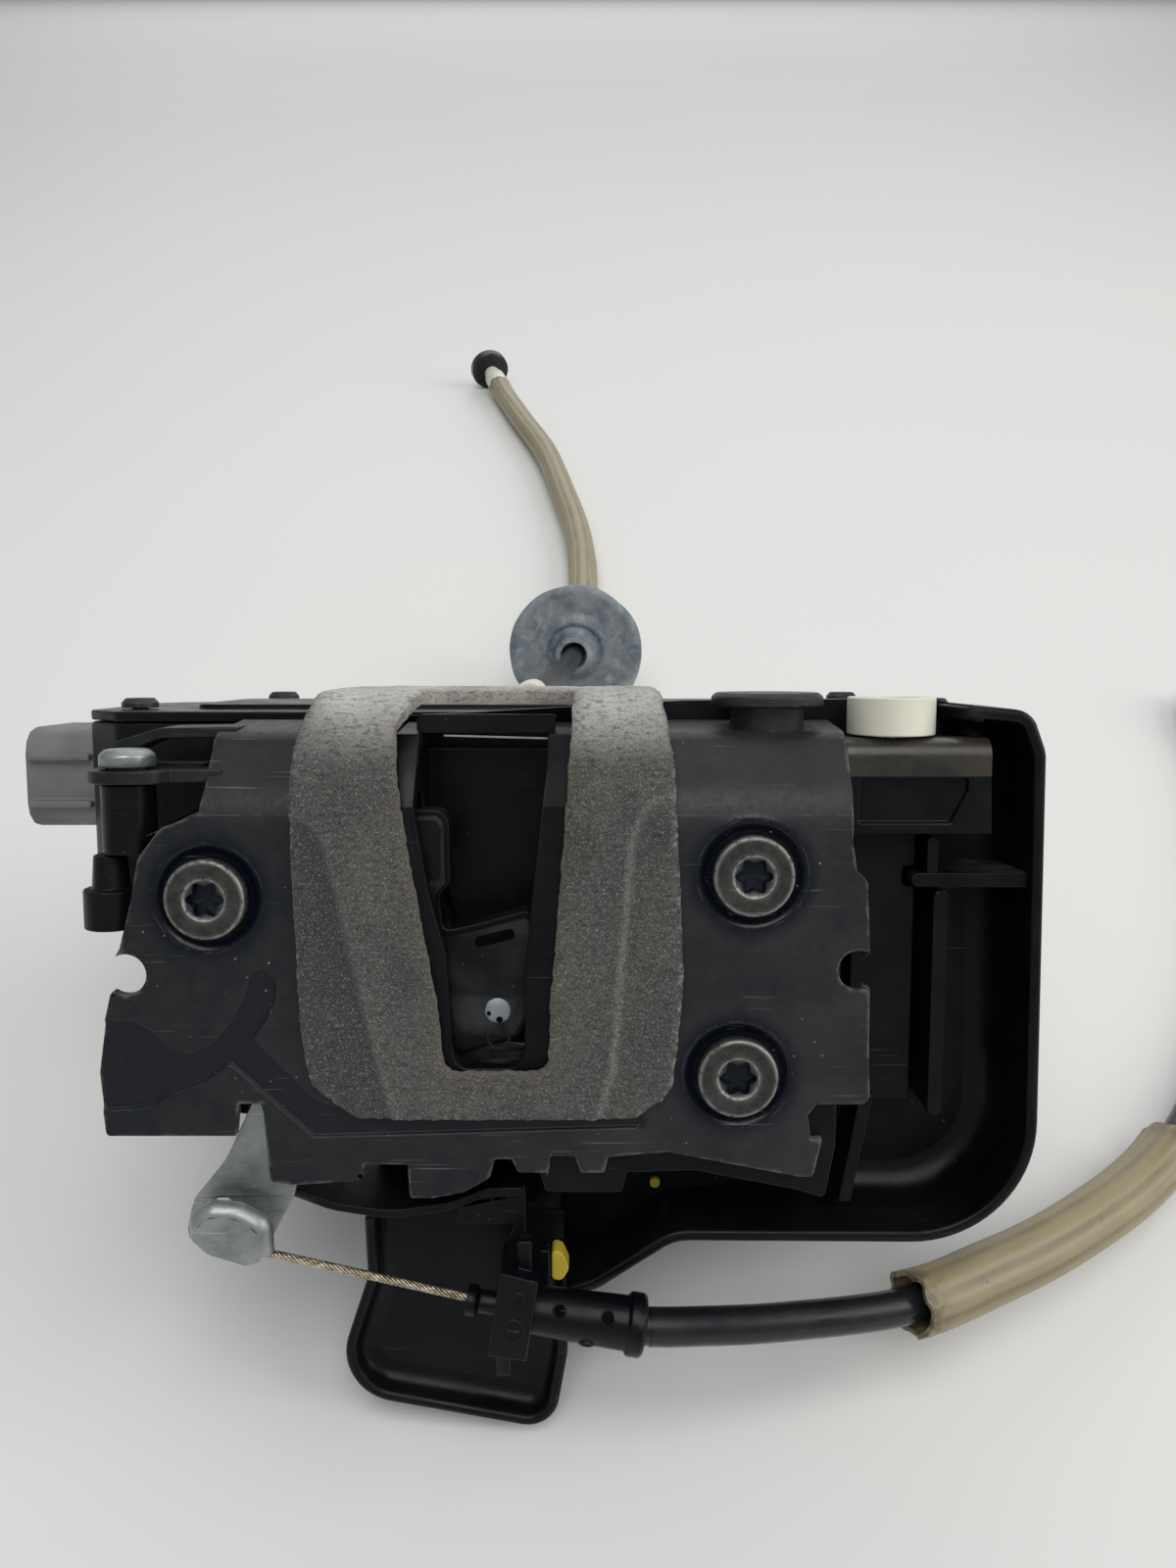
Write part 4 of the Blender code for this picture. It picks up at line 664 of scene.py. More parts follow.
def skin(name, outline, holes, path, step, lift, thickness, extra=(), jitter=0.0, carry=1.0):
    """A sheet over a bent path, as a closed mesh; lift(points) raises its front, in millimetres."""
    loops = [densified(loop, step) for loop in (outline, *holes)]
    if jitter:
        loops = [[(x + jitter * noise.noise((x, s, 1.7)), s + jitter * noise.noise((x, s, 9.1)))
                  for x, s in loop] for loop in loops]
    edge_points = [point for loop in loops for point in loop]
    tree = KDTree(len(edge_points) + len(extra))
    for n, (x, s) in enumerate(edge_points + list(extra)):
        tree.insert((x, s, 0.0), n)
    tree.balance()
    low = np.min(edge_points, axis=0)
    high = np.max(edge_points, axis=0)
    grid = [(x, s) for row, s in enumerate(np.arange(low[1], high[1], step * 0.87))
            for x in np.arange(low[0] + (row % 2) * step / 2, high[0], step)]
    grid = [point for point in grid if tree.find((*point, 0.0))[2] > 0.6 * step]
    points = [Vector(point) for point in edge_points + list(extra) + grid]
    edges = []
    start = 0
    for loop in loops:
        edges += [(start + n, start + (n + 1) % len(loop)) for n in range(len(loop))]
        start += len(loop)
    flat, _, faces, *_ = delaunay_2d_cdt(points, edges, [], 0, 1e-5)
    flat = np.array([tuple(point) for point in flat])
    middles = np.array([flat[list(face)].mean(axis=0) for face in faces])
    keep = inside(middles, loops[0])
    for loop in loops[1:]:
        keep &= ~inside(middles, loop)
    raised = lift(flat)
    shape = bmesh.new()
    fronts, backs = [], []
    for (x, s), up in zip(flat, raised):
        place, out = on_path(path, s)
        top = place + out * up
        under = place + out * (up * carry - thickness)
        fronts.append(shape.verts.new((x * MM, top.x * MM, top.y * MM)))
        backs.append(shape.verts.new((x * MM, under.x * MM, under.y * MM)))
    for face, wanted in zip(faces, keep):
        if wanted:
            shape.faces.new([fronts[n] for n in face])
            shape.faces.new([backs[n] for n in reversed(face)])
    index = {vert: n for n, vert in enumerate(fronts)}
    rim = [edge for edge in shape.edges if len(edge.link_faces) == 1 and edge.verts[0] in index]
    for edge in rim:
        a, b = (index[vert] for vert in edge.verts)
        shape.faces.new((fronts[a], fronts[b], backs[b], backs[a]))
    unused = [vert for vert in shape.verts if not vert.link_faces]
    bmesh.ops.delete(shape, geom=unused, context="VERTS")
    bmesh.ops.recalc_face_normals(shape, faces=shape.faces)
    return linked(name, mesh_of(name, shape)), loops


def flat_places(piece, path):
    """Where each vertex of a skin lies on its unbent sheet."""
    points, run = path
    lines = [Vector(point) for point in points]
    found = []
    for vert in piece.data.vertices:
        here = Vector((vert.co.y, vert.co.z)) / MM
        best = (1e9, 0.0)
        for n in range(len(lines) - 1):
            way = lines[n + 1] - lines[n]
            t = min(max((here - lines[n]).dot(way) / way.length_squared, 0.0), 1.0)
            gap = (here - lines[n] - way * t).length
            if gap < best[0]:
                best = (gap, run[n] + way.length * t)
        found.append((vert.co.x / MM, best[1]))
    return np.array(found)


def grain(places, across, up, seed):
    """Smooth noise at each place (x, s) of a sheet."""
    return np.array([noise.noise((x * across, s * up, seed)) for x, s in places])


def bell(distance, width):
    return np.exp(-(distance / width) ** 2)


def most(*masks):
    return np.maximum.reduce(masks)


def paint_marks(piece, red, green, blue):
    """Three masks stored on a piece's vertices, for its finish to read."""
    marks = piece.data.color_attributes.new("marks", "FLOAT_COLOR", "POINT")
    values = np.stack([red, green, blue, np.ones(len(red))], axis=1).astype(np.float32)
    marks.data.foreach_set("color", values.ravel())


def soften(piece, width, angle=38.0):
    bevel = piece.modifiers.new("soft_edges", "BEVEL")
    bevel.width = width * MM
    bevel.segments = 2
    bevel.limit_method = "ANGLE"
    bevel.angle_limit = radians(angle)
    bevel.use_clamp_overlap = False
    bevel.harden_normals = True
    bevel.miter_outer = "MITER_ARC"


def settle(piece, finish, body="latch_body", replaces=(), local=True, sharp=38.0, look=None):
    """Puts a piece drawn in the latch's frame in its place, on its body, with its finish or another look."""
    if local:
        piece.data.transform(LATCH)
    piece.data.materials.clear()
    piece.data.materials.append(FINISHES[look or finish])
    if piece.type == "MESH":
        piece.data.shade_smooth()
        piece.data.set_sharp_from_angle(angle=radians(sharp))
    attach(piece, body)
    if replaces:
        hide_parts(*replaces)
    return piece


def softened(node, width):
    """A CAD node's shape with its edges rounded, which stands for the node."""
    mesh = frame["nodes"][node].data.copy()
    shape = bmesh.new()
    shape.from_mesh(mesh)
    bmesh.ops.remove_doubles(shape, verts=shape.verts, dist=2e-6)
    bmesh.ops.dissolve_limit(shape, angle_limit=radians(0.6), verts=shape.verts, edges=shape.edges)
    bmesh.ops.recalc_face_normals(shape, faces=shape.faces)
    shape.to_mesh(mesh)
    shape.free()
    piece = linked(f"{node}_moulding", mesh)
    settle(piece, SLOTS[node], BODY_OF[node], (node,), local=False)
    soften(piece, width)
    return piece


# ---- the cables

def smooth_route(route, step=2.0):
    knots = [Vector(point) for point in route]
    knots = [2 * knots[0] - knots[1]] + knots + [2 * knots[-1] - knots[-2]]
    points = []
    for a, b, c, d in zip(knots, knots[1:], knots[2:], knots[3:]):
        steps = max(1, round((c - b).length / step))
        for n in range(steps):
            t = n / steps
            points.append(0.5 * (2 * b + (c - a) * t + (2 * a - 5 * b + 4 * c - d) * t ** 2
                                 + (3 * b - a - 3 * c + d) * t ** 3))
    points.append(knots[-2])
    return points


def along(points, distance):
    gone = 0.0
    for before, after in zip(points, points[1:]):
        run = (after - before).length
        if gone + run >= distance:
            break
        gone += run
    way = (after - before).normalized()
    return before + way * (distance - gone), way


def route_length(points):
    return sum((after - before).length for before, after in zip(points, points[1:]))


def bars(name, runs, radius, resolution):
    """A round bar along each run of points."""
    curve = bpy.data.curves.new(name, "CURVE")
    curve.dimensions = "3D"
    curve.bevel_depth = radius * MM
    curve.bevel_resolution = resolution
    curve.use_fill_caps = True
    for run in runs:
        spline = curve.splines.new("POLY")
        spline.points.add(len(run) - 1)
        for point, place in zip(spline.points, run):
            point.co = (*(place * MM), 1.0)
        spline.use_smooth = True
    return linked(name, curve)


def fluted_sleeve(name, points, start, end, seed, ragged):
    """A soft tube with uneven flutes round a cable, its first and last ends torn more or less ragged."""
    segments, wall = 48, 0.9
    count = int((end - start) / 1.6)
    rows, red, green = [], [], []
    side = Vector((0.0, 0.0, 1.0))
    stations = [(0.0, wall, 5.0), (0.0, wall, 0.0), *((n / count, 0.0, 0.0) for n in range(count + 1)),
                (1.0, wall, 0.0), (1.0, wall, -5.0)]
    for t, inset, shift in stations:
        base = start + (end - start) * t + shift
        place, way = along(points, base)
        across = way.cross(side).normalized()
        up = across.cross(way).normalized()
        tear = {0.0: ragged[0], 1.0: ragged[1]}.get(t, 0.0)
        from_end = min(base - start, end - base)
        flare = 0.06 * max(0.0, 1.0 - from_end / 9.0)
        row = []
        for n in range(segments):
            angle = 2 * pi * n / segments
            flute = abs(cos(4 * angle + 0.5 * noise.noise((base * 0.008, seed, 0.0)))) ** 0.7
            dent = noise.noise((base * 0.03, 1.3 * cos(angle) + seed, 1.3 * sin(angle)))
            reach = SLEEVE_RADIUS * (0.885 + 0.075 * flute + 0.03 * dent + flare * (0.6 + dent)) - inset
            edge = noise.noise((2.2 * cos(angle), 2.2 * sin(angle), seed)) * tear
            row.append((place + across * (reach * cos(angle)) + up * (reach * sin(angle)) + way * edge) * MM)
            red.append(min(1.0, max(0.0, 1.0 - from_end / 6.0)))
            green.append(min(1.0, (1.0 - flute) ** 1.5 * 1.6))
        rows.append(row)
    shape = bmesh.new()
    join_rings(shape, [[shape.verts.new(place) for place in row] for row in rows])
    bmesh.ops.recalc_face_normals(shape, faces=shape.faces)
    sleeve = linked(name, mesh_of(name, shape))
    paint_marks(sleeve, np.array(red), np.array(green), np.zeros(len(red)))
    stood_for = name.replace("_sleeve", "_cable_sleeve")
    return settle(sleeve, "sleeve_tan", replaces=(stood_for,), local=False, sharp=70.0)


def make_outer_cable():
    points = smooth_route(OUTER_ROUTE)
    cable = bars("outer_conduit", [points], CONDUIT_RADIUS, 6)
    settle(cable, "cable_jacket", replaces=("outer_cable_conduit_a", "outer_cable_conduit_b"), local=False)
    way = (points[1] - points[0]).normalized()
    settle(rod("conduit_root", points[0] - way * 3.0, way, 2.9, 5.0), "cable_jacket", local=False)
    sleeve = fluted_sleeve("outer_sleeve", points, *OUTER_SLEEVE, 3.7, (1.6, 0.6))
    fitting = softened("outer_cable_end_fitting", 0.2)


def make_inner_cable():
    points = smooth_route(INNER_ROUTE)
    end = route_length(points) - INNER_TIP
    cable_points = [point for n, point in enumerate(points)
                    if route_length(points[:n + 1]) < end] + [along(points, end)[0]]
    cable = bars("inner_conduit", [cable_points], CONDUIT_RADIUS, 6)
    settle(cable, "cable_jacket", replaces=("inner_cable_conduit",), local=False)
    sleeve = fluted_sleeve("inner_sleeve", points, INNER_SLEEVE_FROM, end, 8.2, (0.4, 0.4))
    grommet = make_grommet(points)
    fitting = softened("inner_cable_end_fitting", 0.35)
    cap = softened("inner_cable_end_cap", 0.5)
    ferrule = softened("inner_cable_ferrule", 0.3)


def make_grommet(points):
    """A rubber disc with a raised hub, a rolled rim and a lip on its back."""
    place, way = along(points, GROMMET_AT)
    rim = GROMMET_RADIUS
    profile = [(0.0, 8.9), (4.6, 8.9), (6.0, 8.6), (6.7, 7.8), (7.3, 4.0), (8.6, 2.6), (rim - 4.0, 1.8),
               (rim - 2.0, 1.9), (rim - 0.5, 1.4), (rim, 0.5), (rim, -0.5), (rim - 0.5, -1.4),
               (rim - 2.2, -2.0), (rim - 3.4, -1.5), (14.0, -0.7), (11.6, -0.9), (10.6, -1.8), (9.4, -1.7),
               (8.7, -0.9), (7.4, -1.2), (6.5, -2.9), (6.0, -5.4), (5.3, -6.6), (4.4, -6.9), (4.0, -6.0),
               (3.7, -2.0), (0.0, -2.0)]

    def wobble(radius, distance, angle):
        if radius < 12.0:
            return radius
        return radius - 0.35 * (1.0 + noise.noise((2.0 * cos(angle), 2.0 * sin(angle), distance)))
    grommet = lathe("grommet_disc", profile, place, way, 96, wobble)
    return settle(grommet, "grommet_rubber", replaces=("cable_grommet",), local=False, sharp=60.0)


# ---- the face

def slot_outline(grow, top=90.0):
    left = [(-16.8 - grow, top), (-16.8 - grow, 48.0), (-14.6 - grow, 28.0), (-10.4 - grow, 3.0),
            (-9.0 - grow, -6.2 - grow, 2.4)]
    right = [(10.2 + grow, -6.2 - grow, 2.4), (10.5 + grow, 8.0), (12.2 + grow, 30.0),
             (13.8 + grow, 50.0), (13.8 + grow, top)]
    return fillet(left + right)


def plate_outline(top):
    right = [(57.2, top), (56.9, 32.6, 1.0), (57.6, 28.2, 1.0), (59.4, 26.4, 1.5), (60.0, 14.8, 0.4),
             *arc((58.2, 12.0), 3.2, 58.0, 302.0, 12.0), (60.1, 9.2, 0.4), (60.2, -1.0),
             (60.6, -10.2, 1.6), (52.0, -10.2, 0.8), (50.6, -12.0), (51.2, -16.0), (53.0, -16.0),
             (51.6, -22.4, 1.0), (49.4, -22.4, 1.0)]
    teeth = [(28.0, -18.2), (18.3, -19.0), (17.6, -21.7, 0.5), (13.8, -21.7, 0.5), (12.8, -18.9),
             (8.9, -18.9), (8.6, -21.7, 0.5), (3.6, -21.7, 0.5), (2.5, -19.4), (-0.2, -19.4)]
    left = [(-1.0, -22.6, 1.5), (-5.2, -25.0, 3.0), (-10.3, -26.0, 0.6), (-14.1, -26.0, 0.6),
            (-14.4, -20.3), (-21.4, -20.3), (-21.7, -23.0, 0.6), (-33.0, -23.8, 1.2),
            (-36.8, -23.2, 1.0), (-37.6, -11.4), (-38.0, -10.1), (-41.5, -10.1), (-42.1, -15.5),
            (-63.2, -15.5, 0.8), (-64.0, -5.0), (-62.6, 4.0, 1.0), (-61.6, 8.0, 0.8),
            *arc((-59.0, 11.3), 3.3, -128.0, 118.0, 12.0), (-59.8, 15.6, 0.8),
            (-57.8, 22.9, 8.0), (-56.4, 30.0, 4.0), (-52.6, 35.0, 3.0), (-46.6, 37.2, 1.0), (-46.0, 42.0),
            (-46.0, top)]
    slot = slot_outline(0.4, top)
    return fillet(right + teeth + left) + slot


BEND_LINES = (37.0, 53.2)         # where the plate's bend starts and ends, along its sheet
CHANNEL_TOP = [(-66.0, 3.7), (-58.1, 3.7), (-54.6, 1.6), (-52.2, -1.0), (-49.2, -1.9), (-45.7, -0.5),
               (-42.1, 3.4), (-39.9, 7.6), (-38.8, 11.1, 1.6), (-37.0, 12.2, 1.6), (-35.1, 10.6, 1.6),
               (-35.2, 7.6), (-36.8, 3.9), (-39.1, 0.8), (-29.4, -9.5), (-24.0, -11.0), (24.0, -11.2)]
CHANNEL_LOW = [(24.0, -13.9), (-29.5, -15.5), (-42.8, -3.2), (-46.8, -6.2), (-52.5, -8.2), (-55.1, -10.1),
               (-58.7, -10.9), (-66.0, -11.1)]


def make_face_plate():
    path = rounded_path(BEND)
    top = path[1][-1]
    outline = plate_outline(top - 0.01)
    corners = CHANNEL_TOP + CHANNEL_LOW
    channel = fillet([(*corner, 0.9) if len(corner) == 2 else corner for corner in corners])
    rings = []
    for x, z in SCREWS.values():
        for radius in (6.0, 6.9, 7.3, 7.7, 8.1, 8.5, 8.9, 9.4):
            rings += arc((x, z), radius, 0.0, 352.0, 8.0)
    walls = [place for offset in (-0.45, -0.16, 0.16, 0.45) for place in beside(channel, offset, 0.55)
             if -63.0 < place[0] < 23.0]
    walls += [(x, s + offset) for s in BEND_LINES for offset in (-0.3, 0.0, 0.3)
              for low, high in ((-45.4, -18.0), (15.0, 56.4)) for x in np.arange(low, high, 0.7)]

    def lift(points):
        raised = np.zeros(len(points))
        for x, z in SCREWS.values():
            radius = np.hypot(points[:, 0] - x, points[:, 1] - z)
            raised -= DISH_DEPTH * (1.0 - smooth(radius, 7.0, 8.5))
            raised += 0.14 * bell(radius - 9.0, 0.45)
        gap = distance_to(points, channel)
        gap = np.where(inside(points, channel), -gap, gap)
        raised -= CHANNEL_DEPTH * (1.0 - smooth(gap, -0.17, 0.17))
        raised += 0.08 * bell(gap - 0.45, 0.3)
        return raised
    plate, loops = skin("face_plate_sheet", outline, [], path, 1.1, lift, PLATE, rings + walls)
    places = flat_places(plate, path)
    border = distance_to(places, loops[0])
    # Pale edges along the plate's border: partly scuffed paint, partly painted highlight.
    red_mask = np.exp(-border / 0.35)
    # Painted highlights along both bend lines.
    for s in BEND_LINES:
        red_mask = np.maximum(red_mask, 0.8 * bell(places[:, 1] - s, 0.16))
    oil = np.zeros(len(places))
    for x, z in SCREWS.values():
        radius = np.hypot(places[:, 0] - x, places[:, 1] - z)
        oil = np.maximum(oil, 1.0 - smooth(radius, 8.4, 11.5))
        # A painted highlight round the rim of each screw's dish.
        red_mask = np.maximum(red_mask, 0.85 * bell(radius - 8.8, 0.25))
    gap = distance_to(places, channel)
    groove = np.where(inside(places, channel), 1.0, 1.0 - smooth(gap, 0.0, 0.4))
    # A painted highlight along the channel's edge.
    red_mask = np.maximum(red_mask, 0.72 * bell(gap - 0.3, 0.2))
    paint_marks(plate, red_mask, oil, groove)
    soften(plate, 0.22, 50.0)
    settle(plate, "plate_steel", replaces=("face_plate",), sharp=50.0)
    make_ear()


def make_ear():
    """The plate's ear under the corner rivet and the strap that carries it."""
    strap = fillet([(-43.0, 50.4), (-56.0, 50.2, 4.0), (-63.5, 47.8, 3.0), (-65.2, 45.0, 2.0),
                    (-65.2, 42.4), (-63.2, 42.4), (-62.8, 45.4, 2.0), (-56.0, 48.4, 3.0), (-43.0, 48.6)])
    ear = fillet([(-65.2, -0.9, 5.6), (-53.2, -0.9, 5.6), (-51.6, 3.0), (-43.6, 3.4), (-43.6, 6.4),
                  (-50.4, 12.0, 3.0), (-50.4, 20.0), (-65.2, 20.0)])
    piece = join(prism("plate_ear", ear, 41.9, 43.9, "z"), prism("arm", strap, 10.4, 20.0))
    cut(piece, rod("hole", (-59.2, 5.0, 38.0), (0, 0, 1), 3.2, 10.0))
    soften(piece, 0.25)
    settle(piece, "plate_steel")


FOAM_CREASE_LEFT = [(-34.0, 37.5), (-28.6, 36.0, 2.0), (-26.2, 33.0, 2.0), (-17.6, -6.6), (-16.4, -11.0),
                    (-16.0, -16.0)]
FOAM_CREASE_RIGHT = [(32.0, 41.6), (24.0, 38.4, 3.0), (21.8, 33.0, 3.0), (18.9, -4.0), (16.6, -11.6, 2.0),
                     (15.0, -16.0)]


def make_foam():
    path = rounded_path(FOAM_BEND)
    top = path[1][-1]
    ring = fillet([(-31.6, 47.0, 4.0), (-31.8, 29.0), (-30.9, 2.0), (-29.5, -6.5, 4.0), (-22.5, -12.0, 5.0),
                   (22.5, -12.0, 5.0), (28.5, -7.5, 5.0), (30.2, 11.0), (28.6, 44.0), (26.8, 58.0),
                   (26.6, top - 0.4, 2.5), (-25.6, top - 0.4, 3.5), (-28.6, 60.0)])
    back = top - 11.5
    opening = fillet([(-11.2, back, 1.5), (-15.6, back - 9.0, 2.5), (-15.4, 44.0), (-13.1, 28.8), (-9.2, 6.9),
                      (-8.2, -4.5, 2.4), (8.6, -4.5, 2.4), (9.0, 7.0), (10.8, 28.8), (12.4, 50.0),
                      (12.6, back, 1.5)])
    left = fillet(FOAM_CREASE_LEFT, closed=False)
    right = fillet(FOAM_CREASE_RIGHT, closed=False)
    left_band = left + [(-40.0, -16.0), (-40.0, 37.5)]
    right_band = right + [(40.0, -16.0), (40.0, 41.6)]

    def lift(points):
        raised = 0.16 * grain(points, 0.16, 0.16, 0.0) + 0.10 * grain(points, 0.7, 0.7, 4.0)
        raised += 0.09 * grain(points, 1.6, 2.4, 8.0)
        for band, crease, drop in ((left_band, left, 0.75), (right_band, right, 0.45)):
            gap = distance_to(points, crease, closed=False)
            gap = np.where(inside(points, band), gap, -gap)
            raised -= drop * smooth(gap, -0.5, 1.1)
            raised += 0.22 * bell(gap + 0.6, 0.7)
        border = np.minimum(distance_to(points, ring), distance_to(points, opening))
        return raised - 0.5 * np.exp(-border / 0.55) + FOAM_THICK
    foam, loops = skin("foam_seal", ring, [opening], path, 0.62, lift, 0.0, jitter=0.28, carry=0.0)
    places = flat_places(foam, path)
    border_in = distance_to(places, loops[1])
    border_out = distance_to(places, loops[0])
    patch = grain(places, 0.11, 0.09, 3.0)
    crumbs = grain(places, 1.1, 1.1, 5.0)
    # Red mask: a paler top, partly scuffs and dust and partly painted light; painted highlights along both
    # creases; pale crumbs at the outer border.
    red_mask = most(0.11 * bell(distance_to(places, right, closed=False), 0.6),
                0.07 * bell(distance_to(places, left, closed=False), 0.6),
                smooth(places[:, 1], 43.0, 56.0) * 0.72 * (0.85 + 0.5 * patch),
                0.6 * smooth(crumbs, 0.15, 0.4) * np.exp(-border_out / 0.5))
    low = 1.0 - smooth(places[:, 1], 40.0, 50.0)
    # Dark mask: painted shade on the banded sides below the top, the left most; a darker outer border; darker
    # patches at random.
    dark = most(0.9 * np.exp(-border_out / 0.6), 0.8 * inside(places, left_band) * low,
                0.25 * inside(places, right_band) * low, 0.5 * smooth(patch, 0.1, 0.5) * low)
    brown = most(0.75 * np.exp(-border_in), 0.45 * smooth(patch, 0.0, 0.5) * smooth(places[:, 0], 8.0, 22.0))
    paint_marks(foam, red_mask, dark, brown)
    settle(foam, "foam", replaces=("foam_gasket",), sharp=60.0)


def make_screw(name):
    """A pan-headed screw with a six-lobed socket, its lip chamfered."""
    x, z = SCREWS[name]
    front = DISH_DEPTH - GAP - HEAD_THICK
    socket = 3.3

    def wobble(radius, _, angle):
        if radius > 3.15:
            return radius
        if radius > 2.95:
            return radius + 0.10 * cos(6 * angle)
        return radius + 0.42 * cos(6 * angle)
    head = SCREW_HEAD
    profile = [(0.0, 26.0), (2.6, 26.0), (2.6, HEAD_THICK), (head - 0.2, HEAD_THICK), (head, 2.3),
               (head, 0.75), (head - 0.1, 0.38), (head - 0.3, 0.12), (head - 0.5, 0.0), (head - 0.9, 0.0),
               (5.0, 0.03), (4.3, 0.0), (3.6, 0.0), (socket + 0.1, 0.0), (socket, 0.06), (3.05, 0.34),
               (2.55, 0.46), (2.45, 0.8), (2.4, 2.3), (1.2, 2.45), (0.0, 2.5)]
    screw = lathe(f"{name}_head", profile, (x, front, z), (0, 1, 0), 144, wobble)
    places = np.array([vert.co[:] for vert in screw.data.vertices]) / MM
    radius = np.hypot(places[:, 0] - x, places[:, 2] - z)
    deep = places[:, 1] - front
    bright = most(bell(radius - head + 0.32, 0.2),
                  np.where((radius > 2.9) & (deep < 0.5), bell(radius - socket, 0.22), 0.0))
    dark = most(np.where((radius < 3.1) & (deep > 0.4), 1.0, 0.0), np.where(deep > 1.2, 0.8, 0.0))
    paint_marks(screw, bright, dark, np.zeros(len(radius)))
    settle(screw, "screw_steel", replaces=(name,), sharp=32.0)


# ---- the tray and its neighbours

RIM_EDGE = 2.3                   # how much of a rim's width never narrows


def rim_wall(name, path, inner_side, profile, width=None):
    """A moulded wall along an open path (x, z), of a cross-section (inset, y) that width(x) narrows."""
    line = [Vector(point) for point in path]
    inward = []
    for n, here in enumerate(line):
        sides = []
        if n > 0:
            sides.append((here - line[n - 1]).normalized())
        if n < len(line) - 1:
            sides.append((line[n + 1] - here).normalized())
        normals = [Vector((side.y, -side.x)) * inner_side for side in sides]
        mitre = (normals[0] + normals[-1]).normalized()
        inward.append(mitre / max(0.5, mitre.dot(normals[0])))
    shape = bmesh.new()
    rings = []
    for here, way in zip(line, inward):
        reach = 1.0 if width is None else width(here.x)
        ring = []
        for inset, depth in profile:
            moved = here + way * (min(inset, RIM_EDGE) + max(0.0, inset - RIM_EDGE) * reach)
            ring.append(shape.verts.new((moved.x * MM, depth * MM, moved.y * MM)))
        rings.append(ring)
    join_rings(shape, rings)
    shape.faces.new(rings[0])
    shape.faces.new(rings[-1][::-1])
    bmesh.ops.recalc_face_normals(shape, faces=shape.faces)
    return linked(name, mesh_of(name, shape))


def moulded(name, outline, low, high, edge=0.5, axis="y"):
    """A prism with rounded edges; its outline has no edge shorter than twice the rounding."""
    piece = prism(name, outline, low, high, axis)
    bevel = piece.modifiers.new("rounded", "BEVEL")
    bevel.width = edge * MM
    bevel.segments = 3
    bevel.limit_method = "ANGLE"
    bevel.angle_limit = radians(32.0)
    bevel.harden_normals = True
    return piece


def fitted(name, outline, low, high, edge=0.5, finish="black_plastic", body="latch_body", axis="y", **how):
    """A moulding, settled."""
    return settle(moulded(name, outline, low, high, edge, axis), finish, body, **how)


def oblong(low, high):
    """An upright bar's outline with round ends."""
    radius = (high[0] - low[0]) / 2
    x = low[0] + radius
    return (arc((x, high[1] - radius), radius, 0.0, 180.0, 30.0)
            + arc((x, low[1] + radius), radius, 180.0, 360.0, 30.0))


def make_tray():
    """The shield behind the latch: a deep smooth rim on the right, a shallow tab below, bars and a shelf."""
    path = fillet([(78.6, 53.9), (88.4, 53.0, 4.5), (90.9, 46.0, 5.0), (92.3, -39.0, 21.0),
                   (30.0, -38.6, 8.0), (17.0, -47.2, 6.0), (10.4, -49.6)], 5.0, closed=False)
    rim = [(0.0, 28.2), (0.0, 10.7), (0.2, 10.25), (0.6, 10.05), (1.6, 10.0), (1.95, 10.2), (2.15, 10.7),
           (2.3, 19.5), (2.6, 21.8), (3.3, 23.7), (4.6, 25.1), (6.6, 25.85), (9.0, 26.1), (9.0, 28.2)]
    wall = rim_wall("tray_wall", thinned(path, 2.5), 1.0, rim, lambda x: float(smooth(x, 34.0, 60.0)))
    settle(wall, "black_plastic", replaces=("side_tray",), sharp=50.0)
    floor = fillet([(-50.0, 40.0, 3.0), (-44.0, 50.0, 3.0), (32.0, 54.2), (76.0, 54.6), (87.0, 51.6, 4.0),
                    (90.4, 44.0, 4.0), (91.2, -37.6, 20.0), (30.0, -37.6, 6.0), (17.0, -45.2, 4.0),
                    (9.4, -48.2), (9.0, -36.4), (-23.6, -36.4), (-23.6, -22.0, 2.0),
                    (-50.0, -16.0, 3.0)], 10.0)
    fitted("tray_floor", floor, 26.0, 28.1, 0.25, sharp=50.0)
    top = [(76.4, 26.5), (78.8, 10.6), (80.2, 10.2), (80.6, 11.0), (80.6, 28.0), (76.4, 28.0)]
    fitted("tray_lip", top, 51.2, 53.6, 0.35, axis="z")
    fitted("tray_shelf", oblong_wide((69.5, 23.2), (90.0, 25.6)), 12.0, 27.0, 0.4)
    fitted("tray_stub", oblong((72.2, 24.9), (74.1, 31.8)), 12.3, 27.0, 0.4)
    fitted("tray_bar", oblong((73.4, -16.8), (75.9, 22.6)), 12.0, 27.0, 0.4)
    edge = fillet([(-23.6, -34.6), (-23.2, -45.0, 5.0), (-30.2, -66.1, 11.0), (8.9, -73.5, 5.5),
                   (11.4, -59.1, 6.0), (11.6, -47.0)], 6.0, closed=False)
    rim = [(0.0, 15.9), (0.0, 10.5), (0.25, 10.15), (0.7, 10.0), (1.3, 10.05), (1.75, 10.4), (1.95, 11.0),
           (2.2, 12.4), (3.0, 13.3), (4.6, 13.75), (6.2, 13.85), (6.2, 15.9)]
    settle(rim_wall("tab_rim", thinned(edge, 1.4), -1.0, rim), "black_plastic", sharp=50.0)
    inner = fillet([(-23.2, -34.6), (-22.6, -45.0, 5.0), (-29.2, -65.3, 10.0), (8.2, -72.4, 5.0),
                    (10.6, -59.1, 5.0), (10.8, -34.6)], 10.0)
    fitted("tab_wall", inner, 13.8, 15.8, 0.2, sharp=50.0)
    fitted("tab_shelf", [(-23.2, -34.4), (10.4, -34.4), (10.4, -37.0), (-23.2, -37.0)], 14.0, 29.0)


def oblong_wide(low, high):
    """A level bar's outline with a round left end."""
    radius = (high[1] - low[1]) / 2
    return [(high[0], low[1]), high] + arc((low[0] + radius, low[1] + radius), radius, 90.0, 270.0, 30.0)


